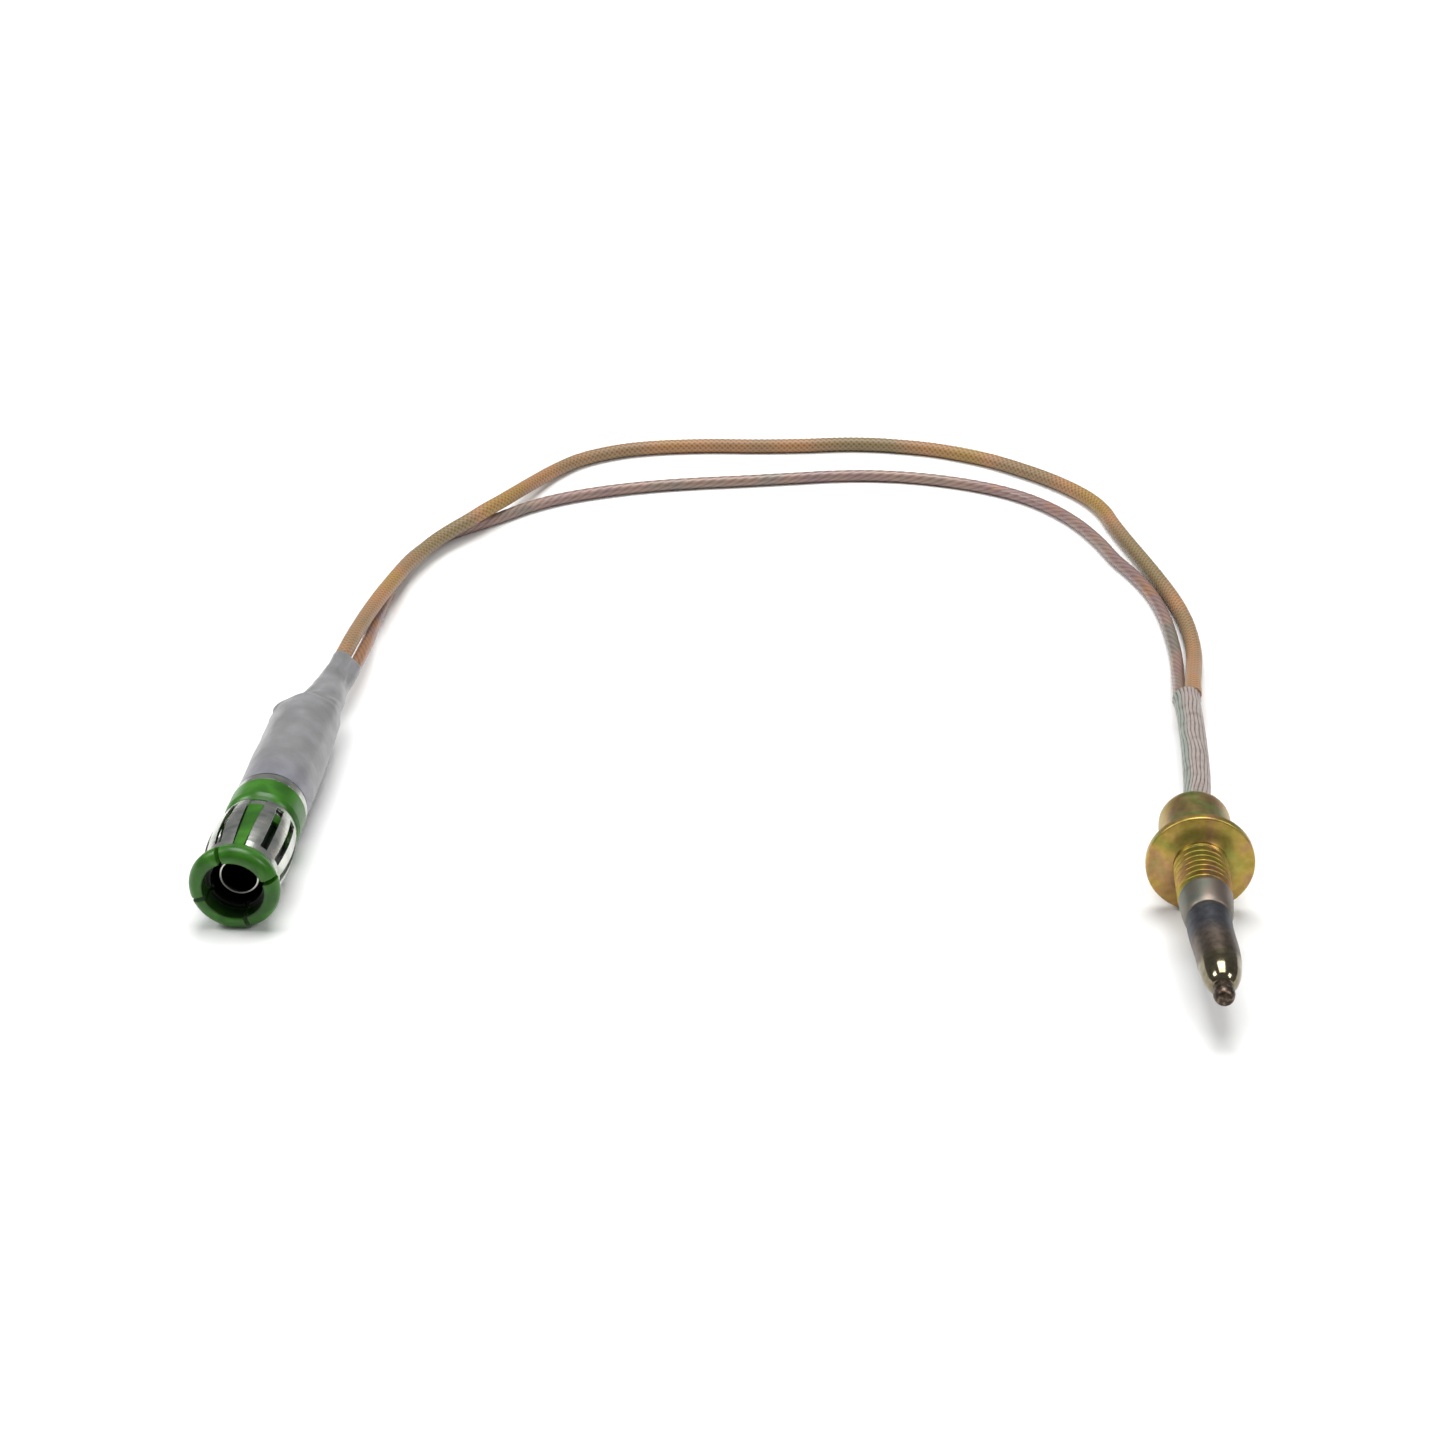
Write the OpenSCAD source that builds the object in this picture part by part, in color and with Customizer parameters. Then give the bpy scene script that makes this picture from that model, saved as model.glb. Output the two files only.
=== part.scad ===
// Gas hob thermocouple: steel hot end in a brass flange bush, two insulated leads, push-in coaxial connector.
// The stem lies along Y, hot end towards -Y. The origin is on the stem's axis, in the flange's seat face.

/* [Bush] */
// Major diameter of the fixing thread
thread_d = 6; // [5:0.1:8]
// Pitch of the fixing thread
thread_pitch = 1; // [0.75:0.05:1.25]
// Length of the threaded shank in front of the flange
thread_len = 7; // [5:0.1:10]
// Plain shank between the flange and the first thread groove
thread_runout = 0.4; // [0.3:0.05:0.8]
// Diameter of the round flange
flange_d = 11.8; // [10.5:0.1:15]
// Thickness of the round flange
flange_t = 1.2; // [0.8:0.1:2]
// Diameter of the collar behind the flange
collar_d = 8; // [7.2:0.1:10]
// Length of the collar behind the flange
collar_len = 8.8; // [7.5:0.1:10.8]
// Diameter of the wire chamber inside the collar
chamber_d = 5; // [4.8:0.1:6]
// Thickness of the ring that closes the collar
retaining_ring_t = 1.6; // [1:0.1:2]

/* [Hot end] */
// Diameter of the sheath's shank inside the bush and the ferrule
shank_d = 4; // [3.6:0.05:4.2]
// Outer diameter of the steel ferrule
ferrule_d = 5.8; // [5.2:0.05:6.4]
// Length of the steel ferrule
ferrule_len = 4.2; // [2.5:0.1:6]
// Diameter of the sheath where it leaves the ferrule
sheath_d = 4.8; // [4.5:0.05:5.2]
// Diameter of the sheath where its rounded end starts
sheath_end_d = 4.2; // [3.6:0.05:4.4]
// Length of the tapered part of the sheath
sheath_len = 9.2; // [7:0.1:20]
// Length of the sheath's rounded end
dome_len = 3.6; // [2.5:0.1:5]
// Bore of the sheath
sheath_bore_d = 2.7; // [2.4:0.05:3]
// Diameter of the weld at the hot junction
weld_d = 2.3; // [1.8:0.05:2.8]
// Length of the weld at the hot junction
weld_len = 2.3; // [1.5:0.1:3]
// Diameter of the inner thermocouple wire
core_wire_d = 0.9; // [0.6:0.05:1]

/* [Sleeve and leads] */
// Outer diameter of the braided sleeve over the leads
sleeve_d = 3.2; // [3:0.05:3.8]
// Wall of the braided sleeve
sleeve_wall = 0.4; // [0.2:0.05:0.4]
// Diameter of the thick lead over its insulation
thick_lead_d = 2.1; // [1.6:0.05:2.1]
// Diameter of the thin lead over its insulation
thin_lead_d = 1.7; // [1.3:0.05:1.7]
// Diameter of the thick lead's conductor
core_conductor_d = 0.8; // [0.6:0.05:0.9]
// Diameter of the thin lead's conductor
ground_conductor_d = 0.8; // [0.6:0.05:0.8]

/* [Connector] */
// Diameter of the flared nose
nose_d = 10; // [9.6:0.1:12]
// Length of the flared nose in front of the outer contact
nose_len = 3; // [2.2:0.1:4]
// Radius of the nose's rounded lip
lip_r = 1.1; // [0.9:0.05:1.2]
// Diameter of the socket inside the nose
socket_d = 5.8; // [5.4:0.1:6.2]
// Length of the outer contact
outer_contact_len = 10.2; // [8:0.1:13]
// Diameter of the outer contact over its end bands
outer_contact_d = 8.3; // [8.2:0.1:9]
// Sheet thickness of the outer contact
outer_contact_t = 0.3; // [0.2:0.05:0.35]
// How far the middle of the outer contact bulges out
outer_contact_bulge = 0.5; // [0.2:0.05:0.8]
// Width of each end band of the outer contact
band_w = 0.9; // [0.6:0.1:1.6]
// Number of slots around the outer contact
slot_count = 11; // [7:1:13]
// Width of each slot
slot_w = 0.9; // [0.5:0.05:1]
// Width of the outer contact's open seam at its front end
seam_front_w = 1.4; // [1.2:0.1:2]
// Width of the outer contact's open seam at its rear end
seam_rear_w = 2; // [1.2:0.1:2.4]
// Length of the plastic ring behind the outer contact
rear_ring_len = 4.2; // [2.5:0.1:6]
// How far the plastic ring stands out from the outer contact's end bands
rear_ring_step = 0.2; // [0.1:0.05:0.5]
// Width of the metal ring that shows behind the plastic ring
terminal_ring_w = 1.1; // [0.6:0.1:1.5]
// Sheet thickness of the ground terminal
terminal_t = 0.35; // [0.3:0.05:0.4]
// Outer diameter of the inner contact tube
inner_contact_d = 4.5; // [4.2:0.1:4.8]
// Bore of the inner contact tube
inner_bore_d = 4; // [3:0.1:4.1]
// Diameter of the wider mouth in front of the socket
mouth_d = 6.8; // [6.4:0.1:7.2]
// Depth of the wider mouth in front of the socket
mouth_depth = 2; // [1:0.1:2.6]
// Depth of the bore of the inner contact tube
inner_bore_len = 7.3; // [5:0.1:8]
// How far the inner contact sits behind the nose's front
inner_recess = 3.2; // [2.4:0.1:4]
// Length of the heat-shrink sleeve
shrink_len = 36.1; // [34:0.1:42]
// Wall of the heat-shrink sleeve
shrink_wall = 0.3; // [0.2:0.05:0.4]

/* [Hidden] */
$fn = 64;
eps = 0.01;
// Radial clearance between pieces that slide together when the part is assembled
slip = 0.05;

steel = "#8d8b84";
brass = "#a8904a";
silver = "#c2c6c0";
copper = "#b56a3c";
green = "#3f7a1e";
glass_braid = "#a9a49b";
amber_braid = "#a37c52";
mauve_coat = "#957a6e";
ceramic = "#e4ddcc";
shrink_grey = "#9a9a9c";
weld_brown = "#4a3d32";

// ---------- bush and hot end, measured along Y from the flange's seat face ----------
thread_r = thread_d / 2;
thread_root_r = thread_r - 0.6134 * thread_pitch;
thread_lead_in = 0.4;
thread_grooves = floor((thread_len - thread_runout - thread_lead_in) / thread_pitch);
collar_end = flange_t + collar_len;
ring_front = collar_end - retaining_ring_t;
edge_break = 0.25;
chamber_front = flange_t + 0.8;

ferrule_front = -thread_len - ferrule_len;
taper_end = ferrule_front - sheath_len;
dome_end = taper_end - dome_len;
weld_end = dome_end - weld_len;
sheath_rear = chamber_front;
core_wire_rear = chamber_front + 2.2;
splice_front = chamber_front + 1;
splice_end = splice_front + 2.6;
splice_r = core_wire_d / 2 + 0.5;

// ---------- the sleeve's line: straight out of the collar, then a gentle lean to the leads ----------
sleeve_front = ring_front - 0.2;
sleeve_straight = collar_end + 0.4;
sleeve_route = [
    [0, sleeve_front, 0], [0, sleeve_straight, 0], [0.6, 14, -0.1], [1.1, 19, -0.3],
    [1.5, 28, -0.8], [1.7, 36, -1.3], [1.8, 43, -2]
];
// The two conductors lie side by side in this direction across the sleeve
pair_roll = 51.5;
// Each conductor lies to one side of the sleeve's middle
conductor_shift = 0.6;
ground_seat_r = chamber_d / 2 - ground_conductor_d / 2;

// ---------- the leads' routes, from the braided sleeve to the heat-shrink sleeve ----------
thick_route = [
    [2.55, 43, -1.3], [2.95, 48, -2.1], [3.6, 54, -3.5], [4.2, 60, -4.6], [4.3, 65, -4.85],
    [3.9, 71, -4.85], [2.8, 77.5, -4.85], [1.3, 83.5, -4.85], [-0.4, 89.5, -4.85],
    [-2.2, 95.5, -4.85], [-3.9, 101.5, -4.85], [-5.2, 106.8, -4.85], [-7.3, 111.4, -4.85],
    [-11, 116.2, -4.85], [-16, 120.8, -4.85], [-22, 125, -4.85], [-29, 128, -4.85],
    [-35, 129.2, -4.85], [-39.5, 129.55, -4.85], [-44, 129.3, -4.85],
    [-50, 128.3, -4.85], [-57, 127.6, -4.85], [-64, 127.2, -4.85], [-71, 126.1, -4.85],
    [-77, 124.1, -4.85], [-82.3, 120.4, -4.85], [-85.6, 115.6, -4.7], [-88, 109.8, -4.2],
    [-90, 103.8, -3.5], [-91.5, 99.6, -3.1], [-93.2, 96.3, -3.05], [-95, 93.3, -3.3],
    [-97, 90.3, -3.6], [-98.8, 86.9, -3.8], [-100.3, 82.4, -3.8], [-101.4, 77.3, -3.5],
    [-102.1, 71.2, -3], [-102.6, 65.6, -2.5], [-102.9, 59.7, -1.9], [-103, 53.7, -1.2],
    [-103, 48.6, -0.6], [-103.1, 43, -0.3], [-103.75, 34, -0.3]
];
thin_route = [
    [1.05, 43, -2.7], [1.35, 48, -3.4], [1.7, 54, -4.5], [1.95, 60, -5], [1.8, 66, -5.05],
    [1.2, 73, -5.05], [0, 79.5, -5.05], [-2, 85.4, -5.05], [-4.3, 90.6, -5.05],
    [-6.4, 96.6, -5.05], [-9.2, 102.6, -5.05], [-13, 108, -5.05], [-17.7, 112.2, -5.05],
    [-23.5, 115.2, -5.05], [-30.5, 117.2, -5.05], [-37.5, 117.9, -5.05], [-44.5, 117.3, -5.05],
    [-51.5, 115.8, -5.05], [-58, 114.4, -5.05], [-64.5, 113.1, -5.05], [-71.2, 111.4, -5.05],
    [-77.7, 109, -5.05], [-83.6, 105.9, -5.05], [-87.9, 102.5, -5.05], [-90.7, 99.4, -5.05],
    [-93.4, 96.5, -5.05], [-95.9, 94, -5.05], [-98.3, 91.2, -5.05], [-100.3, 87.6, -5.05],
    [-101.9, 82.9, -5.05], [-102.8, 77.5, -5.05], [-102.8, 71.2, -5], [-102.7, 65.6, -4.6],
    [-102.4, 59.7, -3.9], [-101.9, 53.7, -3], [-101.6, 48.6, -2.15], [-101.6, 43, -1.65],
    [-102.25, 34, -1.65]
];
lead_sides = 8;

// ---------- connector, measured from the nose's front towards the leads ----------
connector_x = -104;
connector_z = -0.9;
// Where both leads leave the heat-shrink sleeve, and how far they reach into it
tail_y = 43;
lead_end_y = 34;
contact_start = nose_len;
contact_end = contact_start + outer_contact_len;
ring_end = contact_end + rear_ring_len;
terminal_end = ring_end + terminal_ring_w;
// A small gap shows between the terminal's ring and the heat-shrink sleeve
shrink_start = terminal_end + 0.3;
connector_len = shrink_start + shrink_len;
lead_end = connector_len - (tail_y - lead_end_y);

contact_outer_r = outer_contact_d / 2;
contact_inner_r = contact_outer_r - outer_contact_t;
barrel_r = contact_inner_r - slip;
// Between its two end lands the barrel is relieved, so that the spring strips can give
relief_r = socket_d / 2 + 0.4;
land_len = 1.4;
key_gap = 0.15;
terminal_inner_r = contact_inner_r - terminal_t;
terminal_front = contact_end - band_w - 0.6;
rear_ring_r = contact_outer_r + rear_ring_step;
terminal_ring_r = rear_ring_r - 0.1;
barrel_end = terminal_end + 2;
shoulder_len = 0.8;
web_start = inner_recess + inner_bore_len + 1.2;
web_end = web_start + 2;
rear_bore_r = 2.4;
post_r = 1.5;
core_crimp_r = 1.3;
core_crimp_end = web_end + 6;
crimp_tube_wall = 0.35;
crimp_tube_end = core_crimp_end + 4;
// The seam and its key are turned a little from the top; the nose's slits and the contact's slots follow
seam_angle = 4.5;
slit_w = 0.5;
slit_len = 2.6;
slit_first = -22.5;
slot_edge_angle = 36;
slot_first = contact_start + band_w;
slot_len = outer_contact_len - 2 * band_w;
// Ground tail: a strip from the terminal to the ground crimp
tail_angle = -40;
tail_w = 1.6;
tail_end = lead_end - 11;
ground_crimp_r = 0.9;
ground_crimp_len = 6;
ground_crimp_at = 2.1;
ground_crimp_start = tail_end - 2;
// Heat-shrink sleeve: [distance from the nose's front, lean towards +X, outer radius], front to tail
shrink_front_r = terminal_ring_r - 0.05;
shrink_outline = [
    [shrink_start, 0, shrink_front_r], [shrink_start + 2.4, 0, shrink_front_r],
    [shrink_start + 12, 0, shrink_front_r - 0.1], [lead_end - 7, 0, shrink_front_r - 0.4],
    [lead_end - 5.2, 0.4, 3.2], [lead_end - 3.5, 0.85, 2.6], [lead_end, 0.95, 2.35],
    [connector_len, 1.6, 2.35]
];
shrink_sides = 24;

// A solid of revolution about the Y axis from points given as [radius, y]
module turned(points) {
    rotate([-90, 0, 0])
        rotate_extrude()
            polygon(points);
}

// A round rod about the Y axis between two stations
module rod_y(d, from, to) {
    translate([0, from, 0])
        rotate([-90, 0, 0])
            cylinder(d = d, h = to - from);
}

// A point beside another one, across the sleeve in the direction of the two conductors
function beside(p, side) = p + side * [sin(pair_roll), 0, cos(pair_roll)];

// The connector stands on its nose in its own modules, with X to the right and -Y upwards
module at_connector() {
    translate([connector_x, tail_y - connector_len, connector_z])
        rotate([-90, 0, 0])
            children();
}

module revolved(points) {
    rotate_extrude()
        polygon(points);
}

// Turns a child from the top of the connector to an angle, clockwise as seen from the nose
module at_angle(a) {
    rotate([0, 0, a])
        children();
}

// ---------- a lead or a bare conductor as a tube along its route ----------
function unit(v) = v / norm(v);
function heading(p, i) =
    unit(p[min(i + 1, len(p) - 1)] - p[max(i - 1, 0)]);
// A direction the whole route stays well clear of
function reference(p) = abs(heading(p, 0)[2]) > 0.7 ? [1, 0, 0] : [0, 0, 1];
function sideways(p, t) = unit(cross(reference(p), t));
function tube_points(p, d) = [
    for (i = [0 : len(p) - 1])
        let (t = heading(p, i), s = sideways(p, t), u = cross(t, s))
            for (k = [0 : lead_sides - 1])
                let (a = 360 * k / lead_sides)
                    p[i] + (s * cos(a) + u * sin(a)) * d / 2
];
function tube_faces(n) = concat(
    [[for (k = [0 : lead_sides - 1]) k]],
    [
        for (i = [0 : n - 2], k = [0 : lead_sides - 1])
            let (k2 = (k + 1) % lead_sides)
                [
                    i * lead_sides + k2, i * lead_sides + k,
                    (i + 1) * lead_sides + k, (i + 1) * lead_sides + k2
                ]
    ],
    [[for (k = [lead_sides - 1 : -1 : 0]) (n - 1) * lead_sides + k]]
);

module lead(route, d) {
    polyhedron(points = tube_points(route, d), faces = tube_faces(len(route)), convexity = 10);
}

// The same with a bore: outer wall, inner wall, and a ring at each end, for n rings of m points
function hollow_faces(n, m) =
    let (inner = n * m, last = (n - 1) * m)
        concat(
            [
                for (i = [0 : n - 2], k = [0 : m - 1])
                    let (a = i * m + k, b = i * m + (k + 1) % m)
                        each [[b, a, a + m, b + m], [inner + a, inner + b, inner + b + m, inner + a + m]]
            ],
            [
                for (k = [0 : m - 1])
                    let (b = (k + 1) % m)
                        each [
                            [k, b, inner + b, inner + k],
                            [last + b, last + k, inner + last + k, inner + last + b]
                        ]
            ]
        );

module hollow_tube(route, outer_d, inner_d) {
    polyhedron(
        points = concat(tube_points(route, outer_d), tube_points(route, inner_d)),
        faces = hollow_faces(len(route), lead_sides),
        convexity = 10
    );
}

// ---------- hot end ----------

// Fused bead that joins the core wire to the end of the sheath
module hot_junction() {
    r = weld_d / 2;
    nose = 0.9;
    color(weld_brown)
        turned([
            [0, dome_end], [r - 0.1, dome_end], [r, dome_end - 0.5], [r, weld_end + nose],
            for (a = [15 : 15 : 75]) [r * cos(a), weld_end + nose - nose * sin(a)],
            [0, weld_end]
        ]);
}

// Steel thimble: shank through the ferrule and the bush, tapered body, rounded end with the core wire's hole
module tip_sheath() {
    end_r = sheath_end_d / 2;
    hole_r = weld_d / 2;
    color(steel)
        difference() {
            turned([
                [0, sheath_rear], [shank_d / 2, sheath_rear], [shank_d / 2, ferrule_front],
                [sheath_d / 2, ferrule_front],
                for (a = [0 : 10 : 90])
                    [hole_r + (end_r - hole_r) * cos(a), taper_end - dome_len * sin(a)],
                [0, dome_end]
            ]);
            rod_y(sheath_bore_d, taper_end - 0.6, sheath_rear + 1);
            rod_y(core_wire_d + 2 * slip, dome_end - 1, taper_end);
        }
}

// Inner thermocouple wire, from the weld to the splice in the collar
module core_wire() {
    color(copper)
        rod_y(core_wire_d, dome_end, core_wire_rear);
}

// Ceramic tube that keeps the core wire off the sheath
module tip_insulator() {
    color(ceramic)
        difference() {
            rod_y(sheath_bore_d - 2 * slip, taper_end - 0.5, splice_front - 0.3);
            rod_y(core_wire_d + 2 * slip, taper_end - 2, splice_front + 1);
        }
}

// Steel ring between the thread and the sheath's shoulder
module ferrule() {
    r = ferrule_d / 2;
    rear = -thread_len;
    color("#b3b1a8")
        difference() {
            turned([
                [0, rear], [r - edge_break, rear], [r, rear - edge_break],
                [r - 0.2, ferrule_front + 1], [r - 0.3, ferrule_front + 0.4],
                [r - 0.5, ferrule_front], [0, ferrule_front]
            ]);
            rod_y(shank_d, ferrule_front - 1, rear + 1);
        }
}

// ---------- brass bush ----------

// Thread profile as [radius, y] points from the shank's front to the flange
function thread_points() = [
    [thread_root_r, -thread_len],
    [thread_r, -thread_len + thread_lead_in],
    for (k = [thread_grooves - 1 : -1 : 0])
        let (mid = -thread_runout - (k + 0.5) * thread_pitch)
            each [
                [thread_r, mid - 7 / 16 * thread_pitch], [thread_root_r, mid - thread_pitch / 8],
                [thread_root_r, mid + thread_pitch / 8], [thread_r, mid + 7 / 16 * thread_pitch]
            ],
    [thread_r, 0]
];

// One turned piece: threaded shank, round flange and the collar that holds the wire joints
module mounting_bush() {
    flange_r = flange_d / 2;
    collar_r = collar_d / 2;
    rim = 0.3;
    collar_chamfer = 0.7;
    color(brass)
        difference() {
            turned(concat(
                [[0, -thread_len]],
                thread_points(),
                [
                    [flange_r - rim, 0], [flange_r, rim], [flange_r, flange_t - rim],
                    [flange_r - rim, flange_t], [collar_r, flange_t],
                    [collar_r, collar_end - collar_chamfer], [collar_r - collar_chamfer, collar_end],
                    [0, collar_end]
                ]
            ));
            rod_y(shank_d, -thread_len - 1, chamber_front + 1);
            rod_y(chamber_d, chamber_front, collar_end + 1);
        }
}

// Crimped barrel that joins the core wire to the thick lead's conductor
module core_splice() {
    color(copper)
        difference() {
            rod_y(2 * splice_r, splice_front, splice_end);
            rod_y(core_wire_d + 2 * slip, splice_front - 1, core_wire_rear + eps);
            rod_y(core_conductor_d + 2 * slip, core_wire_rear, splice_end + 1);
        }
}

// Insulating tube over the splice
module core_splice_tube() {
    color(ceramic)
        difference() {
            rod_y(2 * splice_r + 0.7, splice_front - 0.2, splice_end + 0.4);
            rod_y(2 * splice_r + 2 * slip, splice_front - 1, splice_end + 1);
        }
}

// Solder that joins the thin lead's conductor to the wall of the bush
module ground_joint() {
    solder_d = ground_conductor_d + 0.6;
    from = chamber_front + 0.3;
    color(silver)
        difference() {
            intersection() {
                translate(beside([0, 0, 0], -ground_seat_r))
                    rod_y(solder_d, from, from + 2.4);
                rod_y(chamber_d, from, from + 2.4);
            }
            translate(beside([0, 0, 0], -ground_seat_r))
                rod_y(ground_conductor_d + 2 * slip, from + 0.4, from + 5);
        }
}

// Brass ring pressed into the back of the collar, around the braided sleeve
module retaining_ring() {
    color("#94803f")
        difference() {
            rod_y(chamber_d, ring_front, collar_end);
            rod_y(sleeve_d + 2 * slip, ring_front - 1, collar_end + 1);
        }
}

// ---------- braided sleeve and the bare ends of the conductors in it ----------
module braided_sleeve() {
    color(glass_braid)
        hollow_tube(sleeve_route, sleeve_d, sleeve_d - 2 * sleeve_wall);
}

module core_conductor_front() {
    color(copper)
        lead([
            [0, core_wire_rear + 0.1, 0], [0, splice_end + 0.4, 0],
            for (p = sleeve_route) beside(p, conductor_shift)
        ], core_conductor_d);
}

module ground_conductor_front() {
    color(copper)
        lead([
            beside([0, chamber_front + 0.7, 0], -ground_seat_r),
            beside([0, splice_end, 0], -ground_seat_r),
            for (p = sleeve_route) beside(p, -conductor_shift)
        ], ground_conductor_d);
}

// ---------- leads ----------
module thick_lead() {
    color(amber_braid)
        lead(thick_route, thick_lead_d);
}

module thin_lead() {
    color(mauve_coat)
        lead(thin_route, thin_lead_d);
}

// ---------- connector ----------

// Moulded nose and barrel in one: flared lip with four slits, socket, web for the inner contact, key on top
module connector_nose() {
    lip_at = nose_d / 2 - lip_r;
    key_top = contact_outer_r + 0.1;
    rear_r = terminal_inner_r;
    color(green)
        at_connector()
            difference() {
                union() {
                    rotate_extrude()
                        difference() {
                            union() {
                                translate([lip_at, lip_r])
                                    circle(r = lip_r);
                                polygon([
                                    [0, lip_r], [lip_at, lip_r], [nose_d / 2 - 0.15, lip_r + 0.4],
                                    [contact_outer_r + 0.1, nose_len], [0, nose_len]
                                ]);
                            }
                            translate([-nose_d, 0])
                                square([nose_d, nose_d]);
                        }
                    translate([0, 0, nose_len - eps])
                        cylinder(r = barrel_r, h = land_len + eps);
                    translate([0, 0, nose_len - eps])
                        cylinder(r = relief_r, h = terminal_front - nose_len);
                    translate([0, 0, terminal_front - land_len])
                        cylinder(r = barrel_r, h = land_len);
                    translate([0, 0, terminal_front - land_len])
                        cylinder(r = rear_r, h = barrel_end - terminal_front + land_len);
                    at_angle(seam_angle)
                        along_seam(
                            seam_front_w - 2 * key_gap, seam_rear_w - 2 * key_gap,
                            socket_d / 2 + 0.1, key_top, nose_len - eps, terminal_front - eps
                        );
                }
                translate([0, 0, -1])
                    cylinder(d = socket_d, h = web_start + 1);
                translate([0, 0, -1])
                    cylinder(d = mouth_d, h = mouth_depth + 1);
                translate([0, 0, web_start - 1])
                    cylinder(r = post_r, h = web_end);
                translate([0, 0, web_end])
                    cylinder(r = rear_bore_r, h = barrel_end);
                for (k = [0 : 3])
                    at_angle(seam_angle + slit_first + 90 * k)
                        translate([-slit_w / 2, -nose_d, -1])
                            cube([slit_w, nose_d, slit_len + 1]);
            }
}

// A block over the seam, from one radius to another, widening from the nose's side to the ring's
module along_seam(front_w, rear_w, from_r, to_r, start, end) {
    translate([0, -from_r, 0])
        rotate([90, 0, 0])
            linear_extrude(to_r - from_r)
                polygon([
                    [-front_w / 2, start], [front_w / 2, start], [rear_w / 2, end], [-rear_w / 2, end]
                ]);
}

// Rolled spring sleeve: two end bands, bulging strips between slots, one open seam over the key
module outer_contact() {
    steps = 12;
    front = contact_start + slip;
    length = outer_contact_len - 2 * slip;
    outer = [
        for (i = [0 : steps])
            let (t = i / steps)
                [contact_outer_r + outer_contact_bulge * 4 * t * (1 - t), front + length * t]
    ];
    inner = [for (i = [steps : -1 : 0]) outer[i] - [outer_contact_t, 0]];
    pitch = (360 - 2 * slot_edge_angle) / (slot_count - 1);
    cut_depth = contact_outer_r + outer_contact_bulge - contact_inner_r + 1;
    color(silver)
        at_connector()
            difference() {
                revolved(concat(outer, inner));
                at_angle(seam_angle)
                    along_seam(
                        seam_front_w, seam_rear_w, contact_inner_r - 0.5, contact_inner_r + cut_depth,
                        contact_start, contact_end
                    );
                for (k = [0 : slot_count - 1])
                    at_angle(seam_angle + slot_edge_angle + k * pitch)
                        translate([-slot_w / 2, -contact_inner_r - cut_depth + 0.5, slot_first])
                            cube([slot_w, cut_depth, slot_len]);
            }
}

// Plated terminal: a tube under the contact's rear band, the ring that shows, and a tail to the ground crimp
module ground_terminal() {
    tail_t = 0.2;
    tail_top = terminal_inner_r + terminal_t - 0.1;
    tail_low = ground_crimp_at + ground_crimp_r;
    color(silver)
        at_connector() {
            difference() {
                union() {
                    translate([0, 0, terminal_front])
                        cylinder(r = terminal_inner_r + terminal_t, h = barrel_end - terminal_front);
                    translate([0, 0, ring_end])
                        cylinder(r = terminal_ring_r, h = terminal_ring_w);
                }
                translate([0, 0, terminal_front - 1])
                    cylinder(r = terminal_inner_r, h = barrel_end);
            }
            at_angle(tail_angle)
                translate([-tail_w / 2, 0, 0])
                    rotate([90, 0, 90])
                        linear_extrude(tail_w)
                            polygon([
                                [-tail_top, barrel_end - 0.6], [-tail_top, barrel_end + shoulder_len],
                                [-tail_low - tail_t, barrel_end + shoulder_len],
                                [-tail_low - tail_t, tail_end], [-tail_low, tail_end],
                                [-tail_low, barrel_end + shoulder_len - tail_t],
                                [-tail_top + tail_t, barrel_end + shoulder_len - tail_t],
                                [-tail_top + tail_t, barrel_end - 0.6]
                            ]);
        }
}

// Plastic ring pushed over the terminal to lock the outer contact
module rear_ring() {
    r = rear_ring_r;
    groove = 0.2;
    color(green)
        at_connector()
            difference() {
                revolved([
                    [contact_inner_r - 1, contact_end], [r - 0.45, contact_end],
                    [r - 0.15, contact_end + 0.5], [r, contact_end + 1],
                    [r, ring_end - groove], [r - groove, ring_end], [contact_inner_r - 1, ring_end]
                ]);
                translate([0, 0, contact_end - 1])
                    cylinder(r = contact_inner_r, h = rear_ring_len + 2);
            }
}

// Turned inner contact: open socket in front, post through the web, crimp barrel behind
module inner_contact() {
    bore_end = inner_recess + inner_bore_len;
    r = inner_contact_d / 2;
    color("#b9b6a8")
        at_connector()
            difference() {
                revolved([
                    [0, inner_recess], [r - 0.1, inner_recess], [r, inner_recess + 0.1], [r, web_start],
                    [post_r - slip, web_start], [post_r - slip, web_end],
                    [core_crimp_r, web_end + 0.3], [core_crimp_r, core_crimp_end], [0, core_crimp_end]
                ]);
                translate([0, 0, inner_recess - 1])
                    cylinder(d = inner_bore_d, h = bore_end - inner_recess + 1);
                translate([0, 0, web_end + 1])
                    cylinder(d = core_conductor_d + 2 * slip, h = core_crimp_end);
            }
}

// Insulating tube over the inner contact's crimp
module core_crimp_tube() {
    color(ceramic)
        at_connector()
            difference() {
                translate([0, 0, web_end + 0.8])
                    cylinder(r = core_crimp_r + crimp_tube_wall, h = crimp_tube_end - web_end - 0.8);
                translate([0, 0, web_end])
                    cylinder(r = core_crimp_r + slip, h = crimp_tube_end);
            }
}

// Crimp barrel under the end of the terminal's tail
module ground_crimp() {
    color(silver)
        at_connector()
            at_angle(tail_angle)
                translate([0, -ground_crimp_at, ground_crimp_start])
                    difference() {
                        cylinder(r = ground_crimp_r, h = ground_crimp_len);
                        translate([0, 0, -1])
                            cylinder(d = ground_conductor_d + 2 * slip, h = ground_crimp_len + 2);
                    }
}

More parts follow.
